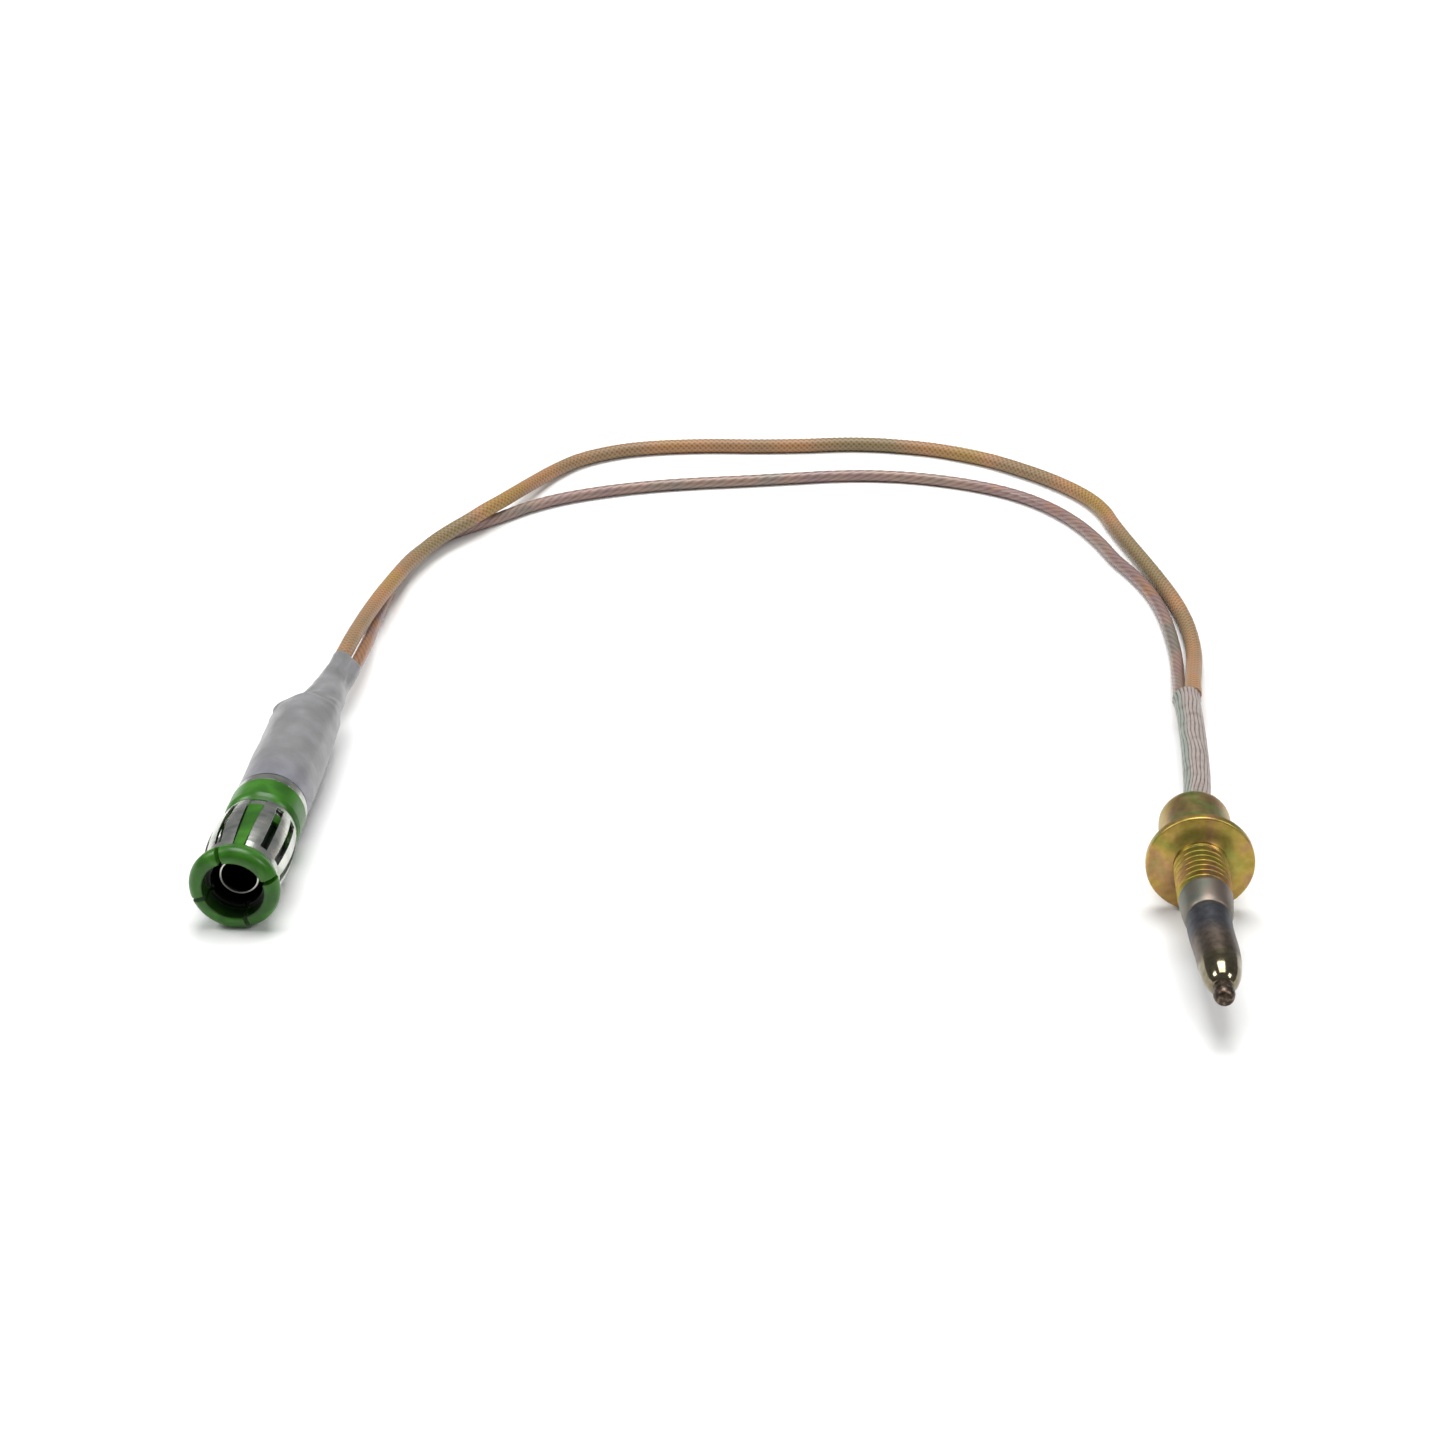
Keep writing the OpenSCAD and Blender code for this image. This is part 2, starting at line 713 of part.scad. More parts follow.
// Conductor of the thick lead, from its end in the heat-shrink sleeve to the inner contact's crimp
module core_conductor_rear() {
    thick_end = thick_route[len(thick_route) - 1];
    local = [thick_end[0] - connector_x, connector_z - thick_end[2], lead_end];
    color(copper)
        at_connector()
            lead([
                [0, 0, web_end + 1.2], [0, 0, crimp_tube_end + 1],
                local - [0, 0, 1.5], local
            ], core_conductor_d);
}

// Conductor of the thin lead, from its end in the heat-shrink sleeve to the ground crimp
module ground_conductor_rear() {
    thin_end = thin_route[len(thin_route) - 1];
    local = [thin_end[0] - connector_x, connector_z - thin_end[2], lead_end];
    crimp = [ground_crimp_at * sin(tail_angle), -ground_crimp_at * cos(tail_angle), 0];
    crimp_end = ground_crimp_start + ground_crimp_len;
    color(copper)
        at_connector()
            lead([
                crimp + [0, 0, ground_crimp_start + 0.3], crimp + [0, 0, crimp_end + 0.6],
                [-1.5, -0.6, lead_end - 5.4], [-1.2, 0.4, lead_end - 4.2], [-0.5, 1.1, lead_end - 3.2],
                [0.3, 1.3, lead_end - 2.3], [1.1, 1.1, lead_end - 1.4],
                local - [0, 0, 0.6], local
            ], ground_conductor_d);
}

// Clear heat-shrink sleeve over the terminal, the crimps and the ends of both leads
module heat_shrink() {
    points = [
        for (inset = [0, shrink_wall], s = shrink_outline, k = [0 : shrink_sides - 1])
            let (a = 360 * k / shrink_sides)
                [s[1] + (s[2] - inset) * cos(a), (s[2] - inset) * sin(a), s[0]]
    ];
    color(shrink_grey)
        at_connector()
            polyhedron(
                points = points,
                faces = hollow_faces(len(shrink_outline), shrink_sides),
                convexity = 10
            );
}

hot_junction();
tip_sheath();
core_wire();
tip_insulator();
ferrule();
mounting_bush();
core_splice();
core_splice_tube();
ground_joint();
retaining_ring();
braided_sleeve();
core_conductor_front();
ground_conductor_front();
thick_lead();
thin_lead();
core_conductor_rear();
ground_conductor_rear();
heat_shrink();
ground_crimp();
core_crimp_tube();
inner_contact();
ground_terminal();
rear_ring();
outer_contact();
connector_nose();
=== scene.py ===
import math
import random

import bpy
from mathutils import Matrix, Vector, noise


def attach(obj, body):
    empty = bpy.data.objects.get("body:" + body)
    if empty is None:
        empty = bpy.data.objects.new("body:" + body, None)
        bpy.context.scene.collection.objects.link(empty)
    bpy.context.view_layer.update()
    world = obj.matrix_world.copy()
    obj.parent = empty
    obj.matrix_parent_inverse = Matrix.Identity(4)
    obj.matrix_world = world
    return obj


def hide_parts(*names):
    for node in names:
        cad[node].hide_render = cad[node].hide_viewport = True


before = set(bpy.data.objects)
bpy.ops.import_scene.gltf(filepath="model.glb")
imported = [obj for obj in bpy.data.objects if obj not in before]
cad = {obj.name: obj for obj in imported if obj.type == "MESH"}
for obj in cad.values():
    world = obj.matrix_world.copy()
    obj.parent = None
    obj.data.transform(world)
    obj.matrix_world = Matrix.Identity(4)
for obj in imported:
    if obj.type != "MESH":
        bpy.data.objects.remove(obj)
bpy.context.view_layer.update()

# ---------------------------------------------------------------- Camera
# A long lens looking down on the part from in front of both ends, so the hot end and the
# connector come towards the eye and the loop of leads lies behind them.
lens = bpy.data.cameras.new("long_lens")
lens.lens = 68.4
lens.sensor_width = 36
lens.clip_start = 0.01
lens.clip_end = 20
camera = bpy.data.objects.new("camera", lens)
camera.location = (-0.0324, -0.2592, 0.1537)
camera.rotation_mode = "QUATERNION"
camera.rotation_quaternion = Vector((-0.0668, 0.8804, -0.4695)).to_track_quat("-Z", "Y")
bpy.context.scene.collection.objects.link(camera)
bpy.context.scene.camera = camera

# ---------------------------------------------------------------- Thick lead
# The core conductor's lead: stranded wire in a tight glass-fibre braid, soaked in amber varnish.
# It leaves the sleeve, runs round the outside of the loop and crosses over the thin lead twice.


def colour(hex_code):
    """An sRGB hex colour as the linear red, green, blue and alpha that a shader takes"""
    parts = [int(hex_code[i:i + 2], 16) / 255 for i in (0, 2, 4)]
    return tuple(c / 12.92 if c <= 0.04045 else ((c + 0.055) / 1.055) ** 2.4 for c in parts) + (1,)


def material(name):
    """A material with nodes, and none in it yet"""
    made = bpy.data.materials.new(name)
    made.use_nodes = True
    made.node_tree.nodes.clear()
    return made


def put(made, kind, sockets=None, stops=None, **settings):
    """Adds a node: its own settings, a ramp's colour stops, and each socket's value or link"""
    node = made.node_tree.nodes.new("ShaderNode" + kind)
    for key, value in settings.items():
        setattr(node, key, value)
    for place, value in (sockets or {}).items():
        if isinstance(value, bpy.types.NodeSocket):
            made.node_tree.links.new(value, node.inputs[place])
        else:
            node.inputs[place].default_value = value
    for i, (position, value) in enumerate(stops or []):
        points = node.color_ramp.elements
        point = points[i] if i < 2 else points.new(position)
        point.position = position
        point.color = value
    return node


def smooth_line(points, step, lowest=-1.0):
    """Evenly spaced points, about step apart, on a smooth curve through the route, none under lowest"""
    route = [Vector(p) for p in points]
    route = [2 * route[0] - route[1]] + route + [2 * route[-1] - route[-2]]
    fine = []
    for a, b, c, d in zip(route, route[1:], route[2:], route[3:]):
        for i in range(24):
            t = i / 24
            fine.append(
                0.5 * (2 * b + (c - a) * t + (2 * a - 5 * b + 4 * c - d) * t ** 2
                       + (3 * b - a - 3 * c + d) * t ** 3)
            )
    fine.append(route[-2])
    lengths = [0.0]
    for a, b in zip(fine, fine[1:]):
        lengths.append(lengths[-1] + (b - a).length)
    count = round(lengths[-1] / step)
    line = []
    at = 0
    for i in range(count + 1):
        want = lengths[-1] * i / count
        while at < len(fine) - 2 and lengths[at + 1] < want:
            at += 1
        share = (want - lengths[at]) / (lengths[at + 1] - lengths[at])
        point = fine[at].lerp(fine[at + 1], share)
        point.z = max(point.z, lowest)
        line.append(point)
    return line


def skin(name, rings, finish, closed_ends=True, marks=None):
    """A smooth mesh over rings of points, with each vertex's marks kept for the material"""
    sides = len(rings[0])
    points = [p for ring in rings for p in ring]
    faces = []
    for i in range(len(rings) - 1):
        for k in range(sides):
            a, b = i * sides + k, i * sides + (k + 1) % sides
            faces.append((a, b, b + sides, a + sides))
    if closed_ends:
        faces.append(tuple(range(sides - 1, -1, -1)))
        faces.append(tuple(range((len(rings) - 1) * sides, len(rings) * sides)))
    mesh = bpy.data.meshes.new(name)
    mesh.from_pydata(points, [], faces)
    mesh.shade_smooth()
    for mark, values in (marks or {}).items():
        mesh.attributes.new(mark, "FLOAT", "POINT").data.foreach_set("value", values)
    mesh.materials.append(finish)
    piece = bpy.data.objects.new(name, mesh)
    bpy.context.scene.collection.objects.link(piece)
    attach(piece, "root")
    return piece


def tube_rings(line, sides, radius):
    """Rings square to a line of points; radius takes the turn round the tube and the length along it"""
    rings = []
    along = 0.0
    for i, centre in enumerate(line):
        ahead = (line[min(i + 1, len(line) - 1)] - line[max(i - 1, 0)]).normalized()
        side = Vector((0, 0, 1)).cross(ahead).normalized()
        top = ahead.cross(side)
        ring = []
        for k in range(sides):
            turn = 2 * math.pi * k / sides
            ring.append(centre + (side * math.cos(turn) + top * math.sin(turn)) * radius(turn, along))
        rings.append(ring)
        if i < len(line) - 1:
            along += (line[i + 1] - centre).length
    return rings


def braid(turn, along, yarns, pitch):
    """Height, 0 to 1, of a plain braid: two sets of yarns wound opposite ways, over and under"""
    wound = 2 * math.pi * along / pitch
    right = math.cos(yarns * (turn + wound) / 2)
    left = math.cos(yarns * (turn - wound) / 2)
    over = 0.28 * right * left
    return max(abs(right) * (0.72 + over), abs(left) * (0.72 - over))


thick_d = 0.0021
thick_route = [
    (0.00255, 0.043, -0.0013), (0.00295, 0.048, -0.0021), (0.0036, 0.054, -0.0035),
    (0.0042, 0.06, -0.0046), (0.0043, 0.065, -0.00485), (0.0039, 0.071, -0.00485),
    (0.0028, 0.0775, -0.00485), (0.0013, 0.0835, -0.00485), (-0.0004, 0.0895, -0.00485),
    (-0.0022, 0.0955, -0.00485), (-0.0039, 0.1015, -0.00485), (-0.0052, 0.1068, -0.00485),
    (-0.0073, 0.1114, -0.00485), (-0.011, 0.1162, -0.00485), (-0.016, 0.1208, -0.00485),
    (-0.022, 0.125, -0.00485), (-0.029, 0.128, -0.00485), (-0.035, 0.1292, -0.00485),
    (-0.0395, 0.12955, -0.00485), (-0.044, 0.1293, -0.00485), (-0.05, 0.1283, -0.00485),
    (-0.057, 0.1276, -0.00485), (-0.064, 0.1272, -0.00485), (-0.071, 0.1261, -0.00485),
    (-0.077, 0.1241, -0.00485), (-0.0823, 0.1204, -0.00485), (-0.0856, 0.1156, -0.0047),
    (-0.088, 0.1098, -0.0042), (-0.09, 0.1038, -0.0035), (-0.0915, 0.0996, -0.0031),
    (-0.0932, 0.0963, -0.00305), (-0.095, 0.0933, -0.0033), (-0.097, 0.0903, -0.0036),
    (-0.0988, 0.0869, -0.0038), (-0.1003, 0.0824, -0.0038), (-0.1014, 0.0773, -0.0035),
    (-0.1021, 0.0712, -0.003), (-0.1026, 0.0656, -0.0025), (-0.1029, 0.0597, -0.0019),
    (-0.103, 0.0537, -0.0012), (-0.103, 0.0486, -0.0006), (-0.1031, 0.043, -0.0003),
    (-0.10375, 0.034, -0.0003),
]
# Its middle is this low where it lies on the table.
thick_rest = -0.00485
thick_line = smooth_line(thick_route, 0.00016, lowest=thick_rest)
thick_sides = 44
thick_yarns = 8
thick_pitch = 0.0068
yarn_depth = 0.00007


def thick_radius(turn, along):
    return thick_d / 2 - yarn_depth * (1.3 - braid(turn, along, thick_yarns, thick_pitch))


amber_braid = material("glass_fibre_braid_amber_varnished")
# Crowns of the yarns catch the light; painted shade darkens the gaps between them.
place = put(amber_braid, "TexCoord")
yarn = put(amber_braid, "Attribute", attribute_name="yarn_height")
drift = put(amber_braid, "TexNoise", {"Vector": place.outputs["Object"], "Scale": 62, "Detail": 2})
tones = put(amber_braid, "ValToRGB", {"Fac": drift.outputs["Fac"]}, [
    (0.36, colour("8c7852")), (0.46, colour("9b7b56")), (0.56, colour("ad7f55")), (0.66, colour("a68344")),
])
yarn_gap_shade = put(amber_braid, "ValToRGB", {"Fac": yarn.outputs["Fac"]}, [
    (0.35, colour("5e4a30")), (0.8, colour("ffffff")),
])
tones_with_gap_shade = put(amber_braid, "Mix", {
    0: 0.62, 6: tones.outputs["Color"], 7: yarn_gap_shade.outputs["Color"],
}, data_type="RGBA", blend_type="MULTIPLY")
fibres = put(amber_braid, "TexNoise", {"Vector": place.outputs["Object"], "Scale": 5200, "Detail": 3})
fine = put(amber_braid, "Bump", {"Height": fibres.outputs["Fac"], "Strength": 0.25, "Distance": 0.00004})
cloth = put(amber_braid, "BsdfPrincipled", {
    "Base Color": tones_with_gap_shade.outputs[2], "Roughness": 0.55, "Coat Weight": 0.15, "Coat Roughness": 0.35,
    "Sheen Weight": 0.05, "Normal": fine.outputs["Normal"],
})
put(amber_braid, "OutputMaterial", {"Surface": cloth.outputs["BSDF"]})

thick_rings = tube_rings(thick_line, thick_sides, thick_radius)
thick_step = (thick_line[1] - thick_line[0]).length
thick_lead = skin("thick_lead_braided", thick_rings, amber_braid, marks={
    "yarn_height": [
        braid(2 * math.pi * k / thick_sides, i * thick_step, thick_yarns, thick_pitch)
        for i in range(len(thick_line)) for k in range(thick_sides)
    ],
})
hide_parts("thick_lead")

# ---------------------------------------------------------------- Thin lead
# The earth return: stranded copper wire under a thin, clear, slightly mauve coat.
# It runs round the inside of the loop, lies on the table and passes under the thick lead.
thin_d = 0.0017
thin_route = [
    (0.00105, 0.043, -0.0027), (0.00135, 0.048, -0.0034), (0.0017, 0.054, -0.0045),
    (0.00195, 0.06, -0.005), (0.0018, 0.066, -0.00505), (0.0012, 0.073, -0.00505),
    (0, 0.0795, -0.00505), (-0.002, 0.0854, -0.00505), (-0.0043, 0.0906, -0.00505),
    (-0.0064, 0.0966, -0.00505), (-0.0092, 0.1026, -0.00505), (-0.013, 0.108, -0.00505),
    (-0.0177, 0.1122, -0.00505), (-0.0235, 0.1152, -0.00505), (-0.0305, 0.1172, -0.00505),
    (-0.0375, 0.1179, -0.00505), (-0.0445, 0.1173, -0.00505), (-0.0515, 0.1158, -0.00505),
    (-0.058, 0.1144, -0.00505), (-0.0645, 0.1131, -0.00505), (-0.0712, 0.1114, -0.00505),
    (-0.0777, 0.109, -0.00505), (-0.0836, 0.1059, -0.00505), (-0.0879, 0.1025, -0.00505),
    (-0.0907, 0.0994, -0.00505), (-0.0934, 0.0965, -0.00505), (-0.0959, 0.094, -0.00505),
    (-0.0983, 0.0912, -0.00505), (-0.1003, 0.0876, -0.00505), (-0.1019, 0.0829, -0.00505),
    (-0.1028, 0.0775, -0.00505), (-0.1028, 0.0712, -0.005), (-0.1027, 0.0656, -0.0046),
    (-0.1024, 0.0597, -0.0039), (-0.1019, 0.0537, -0.003), (-0.1016, 0.0486, -0.00215),
    (-0.1016, 0.043, -0.00165), (-0.10225, 0.034, -0.00165),
]
thin_rest = -0.00505
thin_line = smooth_line(thin_route, 0.0002, lowest=thin_rest)
thin_sides = 32
strands = 7
strand_pitch = 0.011
strand_depth = 0.00006


def strand(turn, along):
    """Height, 0 to 1, of the copper strands that show through the coat as a slow twist"""
    return abs(math.cos(strands * (turn + 2 * math.pi * along / strand_pitch) / 2))


def thin_radius(turn, along):
    return thin_d / 2 - strand_depth * (1.3 - strand(turn, along))


mauve_coat = material("clear_coat_over_copper_strands")
# The coat is thin and uneven, so it is glossy and goes from copper to grey mauve; the twist shows as
# painted shade in the grooves between the strands.
place = put(mauve_coat, "TexCoord")
height = put(mauve_coat, "Attribute", attribute_name="strand_height")
drift = put(mauve_coat, "TexNoise", {"Vector": place.outputs["Object"], "Scale": 85, "Detail": 3})
tones = put(mauve_coat, "ValToRGB", {"Fac": drift.outputs["Fac"]}, [
    (0.34, colour("7f766b")), (0.45, colour("977c6f")), (0.55, colour("8b716e")), (0.67, colour("a07452")),
])
twist = put(mauve_coat, "ValToRGB", {"Fac": height.outputs["Fac"]}, [
    (0.15, colour("8a7a74")), (0.75, colour("ffffff")),
])
groove_shaded_tones = put(mauve_coat, "Mix", {
    0: 0.6, 6: tones.outputs["Color"], 7: twist.outputs["Color"],
}, data_type="RGBA", blend_type="MULTIPLY")
lumps = put(mauve_coat, "TexNoise", {"Vector": place.outputs["Object"], "Scale": 900, "Detail": 2})
uneven = put(mauve_coat, "Bump", {"Height": lumps.outputs["Fac"], "Strength": 0.35, "Distance": 0.0001})
coat = put(mauve_coat, "BsdfPrincipled", {
    "Base Color": groove_shaded_tones.outputs[2], "Metallic": 0.2, "Roughness": 0.5, "Coat Weight": 0.4,
    "Coat Roughness": 0.25, "Normal": uneven.outputs["Normal"],
})
put(mauve_coat, "OutputMaterial", {"Surface": coat.outputs["BSDF"]})

thin_rings = tube_rings(thin_line, thin_sides, thin_radius)
thin_step = (thin_line[1] - thin_line[0]).length
thin_lead = skin("thin_lead_coated", thin_rings, mauve_coat, marks={
    "strand_height": [
        strand(2 * math.pi * k / thin_sides, i * thin_step)
        for i in range(len(thin_line)) for k in range(thin_sides)
    ],
})
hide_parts("thin_lead")

# ---------------------------------------------------------------- Hot tip
# A drawn steel thimble with the weld bead that closes it. Painted shade darkens the body blue-grey
# in front of the ferrule; use has left a line where the flame stops; the rounded end is bright, and the
# bead itself is scaled brown.


def turned_rings(profile, sides):
    """Rings round the Y axis from (station, radius) pairs; a radius may depend on the turn"""
    rings = []
    for station, radius in profile:
        ring = []
        for k in range(sides):
            turn = 2 * math.pi * k / sides
            r = radius(turn) if callable(radius) else radius
            ring.append(Vector((r * math.cos(turn), station, -r * math.sin(turn))))
        rings.append(ring)
    return rings


def rounded(corners, steps=5):
    """A profile with each inner corner (station, radius, rounding) eased into a short curve"""
    profile = [Vector(corners[0][:2])]
    for before, corner, after in zip(corners, corners[1:], corners[2:]):
        middle = Vector(corner[:2])
        if corner[2] == 0:
            profile.append(middle)
            continue
        back = Vector(before[:2]) - middle
        ahead = Vector(after[:2]) - middle
        start = middle + back.normalized() * min(corner[2], back.length * 0.49)
        end = middle + ahead.normalized() * min(corner[2], ahead.length * 0.49)
        for i in range(steps + 1):
            t = i / steps
            profile.append(start * (1 - t) ** 2 + middle * 2 * t * (1 - t) + end * t ** 2)
    profile.append(Vector(corners[-1][:2]))
    return [(p[0], p[1]) for p in profile]


ferrule_front = -0.0112
taper_end = -0.0204
dome_end = -0.024
weld_end = -0.0263

tinted_and_shaded_steel = material("drawn_steel_heat_tinted_and_painted_shade")
# Painted shade, blue-grey, near the ferrule; mauve-brown below the flame line; bare bright metal at the
# end.
place = put(tinted_and_shaded_steel, "TexCoord")
axis = put(tinted_and_shaded_steel, "SeparateXYZ", {"Vector": place.outputs["Object"]})
wander = put(tinted_and_shaded_steel, "TexNoise", {"Vector": place.outputs["Object"], "Scale": 420, "Detail": 3})
edge = put(tinted_and_shaded_steel, "MapRange", {
    "Value": wander.outputs["Fac"], "To Min": -0.0006, "To Max": 0.0006,
})
station = put(tinted_and_shaded_steel, "Math", {0: axis.outputs["Y"], 1: edge.outputs["Result"]})
zone = put(tinted_and_shaded_steel, "MapRange", {
    "Value": station.outputs["Value"], "From Min": -0.0244, "From Max": -0.0108,
})
tint = put(tinted_and_shaded_steel, "ValToRGB", {"Fac": zone.outputs["Result"]}, [
    (0.0, colour("857c66")), (0.26, colour("8d846c")), (0.36, colour("6b5f54")),
    (0.56, colour("6f645c")), (0.72, colour("53545a")), (0.92, colour("4f5258")), (1.0, colour("5c5f60")),
])
polish = put(tinted_and_shaded_steel, "ValToRGB", {"Fac": zone.outputs["Result"]}, [
    (0.24, (0.14, 0.14, 0.14, 1)), (0.36, (0.4, 0.4, 0.4, 1)), (0.9, (0.52, 0.52, 0.52, 1)),
])
stains = put(tinted_and_shaded_steel, "TexNoise", {"Vector": place.outputs["Object"], "Scale": 1500, "Detail": 5})
stain_tones = put(tinted_and_shaded_steel, "ValToRGB", {"Fac": stains.outputs["Fac"]}, [
    (0.3, colour("b9b3ab")), (0.62, colour("ffffff")),
])
stained_and_shaded = put(tinted_and_shaded_steel, "Mix", {
    0: 0.7, 6: tint.outputs["Color"], 7: stain_tones.outputs["Color"],
}, data_type="RGBA", blend_type="MULTIPLY")
scale = put(tinted_and_shaded_steel, "Bump", {"Height": stains.outputs["Fac"], "Strength": 0.12, "Distance": 0.00005})
metal = put(tinted_and_shaded_steel, "BsdfPrincipled", {
    "Base Color": stained_and_shaded.outputs[2], "Metallic": 1.0, "Roughness": polish.outputs["Color"],
    "Normal": scale.outputs["Normal"],
})
put(tinted_and_shaded_steel, "OutputMaterial", {"Surface": metal.outputs["BSDF"]})

body = rounded([
    (ferrule_front + 0.0002, 0.0, 0), (ferrule_front + 0.0002, 0.0023, 0.0001),
    (ferrule_front - 0.0004, 0.0024, 0.0003), (-0.015, 0.00237, 0.002), (-0.019, 0.0023, 0.002),
    (taper_end - 0.0002, 0.0022, 0.0012), (taper_end - 0.0018, 0.00198, 0.0013),
    (dome_end + 0.0006, 0.00156, 0.0009), (dome_end + 0.0001, 0.00117, 0.0001),
    (dome_end, 0.0009, 0.0001), (dome_end, 0.0, 0),
])


# The sheath has been knocked a little to one side in front of the ferrule.
bend_from = -0.0125
bend_len = 0.007
bend_shift = 0.00042


def dented(profile, sides, depth, grain):
    """Turned rings, uneven by the given depth over the given grain size, with the sheath's bend"""
    rings = turned_rings(profile, sides)
    for ring in rings:
        for k, p in enumerate(ring):
            out = Vector((p.x, 0, p.z))
            if out.length > 1e-6:
                ring[k] = p + out.normalized() * depth * noise.noise(p / grain)
            gone = min(max((bend_from - p.y) / bend_len, 0), 1)
            ring[k] = ring[k] + Vector((bend_shift * gone * gone * (3 - 2 * gone), 0, 0))
    return rings


hot_tip = skin("hot_tip_sheath", dented(body, 72, 0.00003, 0.0025), tinted_and_shaded_steel)
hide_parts("tip_sheath")

scaled_weld = material("weld_bead_scaled")
# Burnt oxide over a lumpy bead: nearly matt, with a few bare glints.
place = put(scaled_weld, "TexCoord")
crust = put(scaled_weld, "TexNoise", {"Vector": place.outputs["Object"], "Scale": 2100, "Detail": 5})
burnt = put(scaled_weld, "ValToRGB", {"Fac": crust.outputs["Fac"]}, [
    (0.35, colour("2e2620")), (0.52, colour("463a30")), (0.68, colour("7c6c5a")),
])
rough = put(scaled_weld, "Bump", {"Height": crust.outputs["Fac"], "Strength": 0.25, "Distance": 0.0001})
bead = put(scaled_weld, "BsdfPrincipled", {
    "Base Color": burnt.outputs["Color"], "Metallic": 0.8, "Roughness": 0.4,
    "Normal": rough.outputs["Normal"],
})
put(scaled_weld, "OutputMaterial", {"Surface": bead.outputs["BSDF"]})

nub = rounded([
    (dome_end + 0.0001, 0.0, 0), (dome_end + 0.0001, 0.00103, 0.0001), (dome_end - 0.0003, 0.00104, 0.0002),
    (dome_end - 0.0008, 0.00112, 0.0003), (weld_end + 0.0008, 0.00112, 0.0007),
    (weld_end + 0.0001, 0.00085, 0.0006), (weld_end, 0.0004, 0.0003), (weld_end, 0.0, 0),
], 6)
weld = skin("hot_junction_weld", dented(nub, 48, 0.00003, 0.0011), scaled_weld)
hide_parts("hot_junction")

# ---------------------------------------------------------------- Ferrule
# A turned steel ring pressed between the bush and the sheath's shoulder. It is bright, with a broad
# cone in front and a small chamfer behind.
turned_steel = material("turned_steel_bright")
# Fine tool marks run round it, and heat has left a faint straw and green tinge.
place = put(turned_steel, "TexCoord")
tinge = put(turned_steel, "TexNoise", {"Vector": place.outputs["Object"], "Scale": 330, "Detail": 2})
straw = put(turned_steel, "ValToRGB", {"Fac": tinge.outputs["Fac"]}, [
    (0.38, colour("6f746a")), (0.5, colour("7a796e")), (0.62, colour("82766d")),
])
# Tool marks drawn at 0.2 mm, coarser than the real ones, so that they show at all.
rings_of_tool = put(turned_steel, "TexWave", {
    "Vector": place.outputs["Object"], "Scale": 1600, "Distortion": 0.4,
}, wave_type="BANDS", bands_direction="Y")
tool_marks = put(turned_steel, "Bump", {
    "Height": rings_of_tool.outputs["Fac"], "Strength": 0.1, "Distance": 0.00003,
})
metal = put(turned_steel, "BsdfPrincipled", {
    "Base Color": straw.outputs["Color"], "Metallic": 1.0, "Roughness": 0.48,
    "Normal": tool_marks.outputs["Normal"],
})
put(turned_steel, "OutputMaterial", {"Surface": metal.outputs["BSDF"]})

ferrule_back = -0.007
shank_bore_r = 0.002
collet = rounded([
    (ferrule_back, shank_bore_r, 0), (ferrule_back, 0.0028, 0.0001), (-0.0073, 0.0029, 0.0002),
    (-0.0101, 0.00272, 0.0009), (-0.0109, 0.00256, 0.0004), (ferrule_front, 0.0024, 0.0002),
    (ferrule_front, shank_bore_r, 0),
])
ferrule = skin("ferrule_ring", turned_rings(collet + [collet[0]], 96), turned_steel, closed_ends=False)
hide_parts("ferrule")

# ---------------------------------------------------------------- Brass bush
# Turned from one bar: threaded shank, thin round flange and the collar round the wire joints.
# The thread is cut right-handed at 1 mm pitch, and the whole bush is zinc-plated and yellow-passivated.
pitch = 0.001
crest_r = 0.003
root_r = 0.0024
flange_r = 0.0059
flange_t = 0.0012
collar_r = 0.004
collar_end = 0.01
chamber_r = 0.0025
chamber_front = 0.002
shank_len = 0.007
# The thread fades out over this length in front of the flange, and its crests stay just inside 3 mm.
runout = 0.0004
crest_inset = 0.00002
# A pitch is a narrow flat root, two flanks and a crest; these are the root's and the flanks' shares.
root_share = 0.14
flank_share = 0.7
chamfer_slope = 1.3


def thread_depth(phase):
    """Share of the full radius, 0 at the root and 1 at the crest, for a place in one pitch"""
    across = abs((phase % 1) - 0.5) * 2
    return min(max((across - root_share) / flank_share, 0), 1)


def thread_form(station):
    """Radius round the shank at one station, with a chamfer at the front and a run-out at the flange"""
    fade = min(max((-runout - station) / runout, 0), 1)
    chamfer = root_r + max(station + shank_len, 0) * chamfer_slope

    def radius(turn):
        cut = thread_depth(station / pitch + turn / (2 * math.pi))
        deep = (crest_r - root_r) * (1 - cut) * fade
        return min(crest_r - crest_inset - deep, chamfer)

    return radius


passivated = material("brass_yellow_passivated")
# Passivation is a film of uneven thickness: olive gold, with pink and green where it changes.
place = put(passivated, "TexCoord")
film = put(passivated, "TexNoise", {
    "Vector": place.outputs["Object"], "Scale": 190, "Detail": 2, "Distortion": 0.6,
})
hue = put(passivated, "ValToRGB", {"Fac": film.outputs["Fac"]}, [
    (0.34, colour("9c9a4c")), (0.44, colour("ab974b")), (0.52, colour("b89c54")),
    (0.6, colour("b08a60")), (0.7, colour("8c9653")),
])
mottle = put(passivated, "TexNoise", {"Vector": place.outputs["Object"], "Scale": 1300, "Detail": 4})
mottle_tones = put(passivated, "ValToRGB", {"Fac": mottle.outputs["Fac"]}, [
    (0.3, colour("cfc6b4")), (0.65, colour("ffffff")),
])
gold = put(passivated, "Mix", {
    0: 0.6, 6: hue.outputs["Color"], 7: mottle_tones.outputs["Color"],
}, data_type="RGBA", blend_type="MULTIPLY")
gloss = put(passivated, "MapRange", {"Value": mottle.outputs["Fac"], "To Min": 0.32, "To Max": 0.46})
